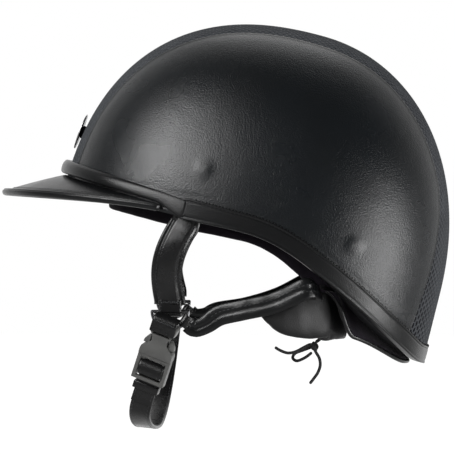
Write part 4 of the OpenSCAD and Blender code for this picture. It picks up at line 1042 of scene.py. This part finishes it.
def curve_points(points, per_part):
    n = len(points) - 1
    vectors = [Vector(p) for p in points]
    return [curve_through(vectors, i / (n * per_part)) for i in range(n * per_part + 1)]

def tube_mesh(line, diameter, sides=12):
    """A round tube along a line in millimetres, closed at both ends."""
    count = len(line) - 1
    ways = [(line[min(i + 1, count)] - line[max(i - 1, 0)]).normalized() for i in range(count + 1)]
    side = ways[0].cross(Vector((0.3, 0.9, 0.2))).normalized()
    frames = []
    for way in ways:
        side = (side - way * side.dot(way)).normalized()
        frames.append((side.copy(), way.cross(side).normalized()))
    def at(a, b):
        j = round(b * count)
        angle = 360 * (round(a * sides) % sides) / sides
        end = min(j, count - j)
        r = diameter / 2 * (1 if end > 1 else (0.92 if end == 1 else 0.6))
        return line[j] + frames[j][0] * (r * cosd(angle)) + frames[j][1] * (r * sind(angle))
    return tube_of(sides, count, at)

KNOT = Vector((36.4, 0, -69.5))
FREE_LACE = {
    "lace_bow": [(35.6, 0.3, -70.0), (33.6, 0.6, -70.2), (28, 3, -72.4), (22.6, 4, -74.6), (20.8, 3, -77.8),
                 (23.8, 1, -79.8), (29.6, -0.6, -77.4), (34.6, -0.6, -73.6)],
    "lace_end_front": [(36.6, -0.2, -68.9), (33.2, -1.4, -68), (28.6, -4, -70), (23, -6, -72.8),
                       (17.6, -6.5, -73.7), (12.4, -6.6, -72), (8.4, -7, -69.6)],
    "lace_end_down": [(34.9, -0.6, -68.4), (37.2, 1.2, -73.3), (39.8, 1.8, -78), (40.4, 2, -83),
                      (38.8, 1.6, -88), (35.8, 1, -92.4), (33, 0.6, -96)]}
for name, points in FREE_LACE.items():
    line = curve_points(points, 6)
    obj = make_piece(f"{name}_cord", tube_mesh(line, LACE), [cord_yarn], name)

# %% [markdown]
# The lacing itself is held by the eyelets, and the knot is two turns of the same cord drawn tight. The same tube
# also makes the leather piping that closes the lower edge of the nape lining.
# %% Lacing and knot
PAD_END = Vector((40.5, -12, -53))
PAD_WAY = (PAD_END - Vector((43.9, -15.9, -53))).normalized()
EYELET = PAD_END + PAD_WAY * 4.8
EYELET_OUT = turn_z(PAD_WAY, -90)

def through(up):
    c = EYELET + Vector((0, 0, up * 6))
    return [c + EYELET_OUT * 3.2, c, c - EYELET_OUT * 3.4]

def across(up): return [flip(p) for p in through(up)][::-1]
lacing = ([KNOT + Vector((0.7, -2.1, 3)), (40.6, -4, -63.4)] + through(-1)
          + [(31.2, -9, -56.5), (29.6, 0, -53), (31.2, 9, -49.5)] + across(1) + [(42, 3, -46.5), (42, -3, -46.5)]
          + through(1) + [(32.2, -9.2, -50), (33.2, 0, -53), (32.2, 9.2, -56)] + across(-1)
          + [(40.6, 4, -63.4), KNOT + Vector((0.7, 2.1, 3))])

def nape_edge(u):
    z = nape_low(u) + 1
    return worn(dome_at(u, z, foam_in(u, 0) - 3 + nape_flare(u, z)))

nape_line = [nape_edge(114 + i * 1.1) for i in range(121)]
make_piece("nape_piping", tube_mesh(nape_line, PIPING), [strap_leather])
make_piece("lacing", tube_mesh(curve_points(lacing, 5), LACE), [cord_yarn], "nape_lace")
dress("knot", "lace_knot", cord_yarn, 0.05)

# %% [markdown]
# Below the left ring hangs a side-release buckle: a waisted socket, and a plug with a window where the strap
# turns over a bar. Its frame is written as one matrix, from which the strap and its tail take their places.
# %% The buckle
HANG_TILT, LEAN, TWIST = 18, 14, -12
SOCKET_OFF = FOLD_R + 2 * HALF_LEATHER + 4.25
SOCKET_FOOT, PLUG_GAP, PLUG_LONG = -24, 0.2, 18
PLUG_TOP = SOCKET_FOOT - PLUG_GAP
PLUG_FOOT = PLUG_TOP - PLUG_LONG

buckle = (ring_frame("left") @ turned(HANG_TILT, "Y") @ Matrix.Translation((0, -SOCKET_OFF, -8))
          @ turned(LEAN, "X") @ turned(TWIST, "Z"))
print("buckle at", [round(c, 2) for c in buckle.translation])
for name, node, body, finish, bevel, slot in (
        ("socket_shell", "buckle_socket", "chin", plastic, 0.7, "buckle"),
        ("plug_shell", "buckle_plug", "plug", plastic, 0.6, "buckle"),
        ("prong_shell_front", "prong_front", "prong_front", plastic, 0.4, "buckle"),
        ("prong_shell_rear", "prong_rear", "prong_rear", plastic, 0.4, "buckle"),
        ("socket_webbing", "socket_loop", "chin", strap_leather, 0.3, "webbing"),
        ("far_webbing", "far_loop", "chin", strap_leather, 0.3, "webbing"),
        ("keeper_strip", "strap_keeper", "keeper", strap_leather, 0.4, "webbing")):
    dress(name, node, finish, bevel, body)

# %% [markdown]
# The plug's window has thin borders. The solid's are thicker, so the dressed plug is stretched from inside: every
# corner between its top and its foot moves outwards by its share, and the outline stays where it is.
# %% The plug's window and the socket's sleeve
WINDOW_HALF, WIDER_HALF, PLUG_HALF = 8.1, 9.0, 11.5
to_buckle = buckle.inverted()
for v in bpy.data.objects["plug_shell"].data.vertices:
    p = to_buckle @ (v.co / MM)
    if PLUG_FOOT - 0.05 < p.z < PLUG_TOP + 0.05:
        x = abs(p.x)
        outside = mix(WIDER_HALF, PLUG_HALF, (x - WINDOW_HALF) / (PLUG_HALF - WINDOW_HALF))
        p.x = math.copysign(x * WIDER_HALF / WINDOW_HALF if x < WINDOW_HALF else outside, p.x)
        k = (p.z - PLUG_FOOT) / (PLUG_TOP - PLUG_FOOT)
        p.z = mix(PLUG_FOOT, PLUG_TOP, k + 0.08 * smooth((k - 0.45) / 0.3) * smooth((1 - k) / 0.18)
                  - 0.03 * smooth((0.5 - k) / 0.3) * smooth(k / 0.1))
        v.co = buckle @ p * MM

buckle_wide, buckle_out = toward(buckle, 1, 0, 0), toward(buckle, 0, -1, 0)
sleeve_line = [(-5.3, -6.4), (-5.3, -3), (-5.2, 1), (-4.2, 3.4), (-1.6, 4.7), (1.4, 4.6), (3.2, 3.4)]
stations = [(buckle @ Vector((0, y, z)), buckle_wide, 17.6, 1.6) for y, z in sleeve_line]
bm, _, _ = strap_mesh(stations, "folded", 44, 14)
row = [buckle @ Vector((x, -6.0, 1.2)) for x in range(-7, 8)]
add_stitches(bm, row, lambda q: buckle_out, **ZIGZAG)
make_piece("socket_sleeve", bm, [strap_leather, thread], body="chin")

# %% [markdown]
# The chin strap goes over the plug's bar, runs straight behind it and then under the chin to the other ring.
# The tail rides on the plug's body; the chin strap rides on no body, its transform baked into its mesh.
# %% Tail and chin strap
STRAP_WIDE, STRAP_THICK, TAIL_THICK = 15, 2.4, 1.4
BAR_HALF = 1.5
TURN_Z = PLUG_TOP - 8.5
PATH_Y = BAR_HALF + PLUG_GAP + TAIL_THICK / 2
BACK_Y = PATH_Y + (STRAP_THICK - TAIL_THICK) / 2
ROLL_Y = 4.0
FAR_TILT = 6
foot_z = PLUG_FOOT + 2.7
tail_line = ([(ROLL_Y, TURN_Z - 4)] + [(ROLL_Y * cosd(a), TURN_Z - 1 + 5 * sind(a)) for a in range(0, 181, 15)]
             + [(-ROLL_Y, TURN_Z - 3.4), (-2.4, TURN_Z - 5.4), (0.7, foot_z + 0.6), (0.7, foot_z - 3),
                (0.7, foot_z - 8), (0.7, TURN_Z - 26)])
stations = [(buckle @ Vector((0, y, z)), buckle_wide, STRAP_WIDE + 2.6 * smooth((z - foot_z) / 5), TAIL_THICK)
            for y, z in tail_line]
sewn_strap("tail_skin", "strap_tail", stations, ("folded", 70, 14), ((6.1, -6.1), 0.45, 0.97), body="plug",
           pitch=2.6, length=1.8, width=0.35)

def bezier(a, b, c, d, k):
    return a * (1 - k) ** 3 + b * 3 * (1 - k) ** 2 * k + c * 3 * (1 - k) * k * k + d * k ** 3

across_strap, far_way = turn_y((1, 0, 0), FAR_TILT), turn_y((0, 0, -1), FAR_TILT)
bottom = Vector((-80, 0, -125.5))
near = buckle @ Vector((0, BACK_Y, TURN_Z - 27))
near_way = (near - buckle @ Vector((0, BACK_Y, TURN_Z - 17))).normalized()
far = flip(RIGHT_RING) + turn_y((0, 0, -RING_DROP), FAR_TILT)
stations = [(buckle @ Vector((0, y, TURN_Z + z)), buckle_wide, STRAP_WIDE, t) for y, z, t in
            ((PATH_Y, 4.2, TAIL_THICK), (PATH_Y, -1, TAIL_THICK), (PATH_Y, -6, TAIL_THICK),
             (BACK_Y, -9, STRAP_THICK), (BACK_Y, -16, STRAP_THICK))]
stations += [(bezier(near, near + near_way * 14, bottom + Vector((0, -42, 0)), bottom, i / 8),
              buckle_wide.lerp(across_strap, smooth(i / 8 * 1.6)), STRAP_WIDE, STRAP_THICK) for i in range(9)]
stations += [(bezier(far, far + far_way * 34, bottom + Vector((0, 50, 0)), bottom, i / 8), across_strap,
              STRAP_WIDE, STRAP_THICK if i else 2.6) for i in range(7, -1, -1)]
chin_skin = sewn_strap("chin_strap_skin", "chin_strap", stations, ("folded", 150, 14), ((5.6, -5.6), 0.02, 0.98),
                       body=None)
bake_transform(chin_skin)


# %% [markdown]
# The floor lies well below the hanging chin strap. The backdrop is white: the camera sees it everywhere, and
# shiny pieces see it on the side where it stands, behind the helmet. The room behind the camera is dim, which is
# why the dome's flank stays nearly black. Only a soft, even sky and three lamps light the helmet itself.
# %% Floor, world and lamps
def mix_values(tree, share, a, b):
    """A mix of two numbers or value sockets."""
    node = tree.nodes.new("ShaderNodeMix")
    for index, value in ((0, share), (2, a), (3, b)):
        feed(tree, node.inputs[index], value)
    return node.outputs[0]

def seen_white(tree, along_y, start, end, unseen):
    """Strength 1 for the camera and through glass; reflections see it grow from dim to 1 along Y."""
    rays = tree.nodes.new("ShaderNodeLightPath")
    side = add_node(tree, "ShaderNodeMapRange", Value=along_y, From_Min=start, From_Max=end, To_Min=0.05)
    room = mix_values(tree, rays.outputs["Is Glossy Ray"], unseen, side.outputs["Result"])
    direct = math_node(tree, "MAXIMUM", rays.outputs["Is Camera Ray"], rays.outputs["Is Transmission Ray"])
    return mix_values(tree, direct, room, 1.0)

def y_of(tree, kind, output):
    return add_node(tree, "ShaderNodeSeparateXYZ", Vector=add_node(tree, kind).outputs[output]).outputs["Y"]

FLOOR_Z, FLOOR_HALF = -0.42, 6
bm = bmesh.new()
bmesh.ops.create_grid(bm, x_segments=1, y_segments=1, size=FLOOR_HALF)
bmesh.ops.translate(bm, verts=bm.verts, vec=(0, 0, FLOOR_Z))
floor_mesh = bpy.data.meshes.new("floor")
bm.to_mesh(floor_mesh)
bm.free()
add_object("floor", floor_mesh)
paper = bpy.data.materials.new("floor_paper")
paper.use_nodes = True
tree = paper.node_tree
shader = tree.nodes["Principled BSDF"]
white = seen_white(tree, y_of(tree, "ShaderNodeNewGeometry", "Position"), start=0.0, end=1.0, unseen=0.0)
glow = math_node(tree, "MULTIPLY", white, 0.95)
for key, value in (("Base Color", (0.5, 0.5, 0.5, 1)), ("Roughness", 0.9), ("Specular IOR Level", 0.1),
                   ("Emission Color", (1, 1, 1, 1)), ("Emission Strength", glow)):
    feed(tree, shader.inputs[key], value)
floor_mesh.materials.append(paper)

world = bpy.data.worlds.new("studio")
bpy.context.scene.world = world
world.use_nodes = True
tree = world.node_tree
tree.nodes.clear()
white = seen_white(tree, y_of(tree, "ShaderNodeTexCoord", "Generated"), start=-0.1, end=0.7, unseen=0.2)
backdrop = add_node(tree, "ShaderNodeBackground", Color=(1, 1, 1, 1), Strength=white)
add_node(tree, "ShaderNodeOutputWorld", Surface=backdrop.outputs[0])

def soft_lamp(name, way, distance, wide, tall, power):
    """An oval area lamp that stands in a direction and points at the helmet; metres and watts."""
    lamp = bpy.data.lights.new(name, "AREA")
    lamp.shape = "ELLIPSE"
    lamp.size, lamp.size_y = wide, tall
    lamp.energy = power
    aim(add_object(name, lamp), Vector(way).normalized() * distance, (0, 0, 0.02))

soft_lamp("key", (-0.56, -0.67, 0.45), 1.2, 0.6, 0.7, 14.5)
soft_lamp("low_right", (0.84, -0.5, -0.19), 1.2, 0.55, 0.9, 17)
soft_lamp("overhead", (0.1, 0.5, 0.86), 1.4, 0.9, 0.9, 2.0)
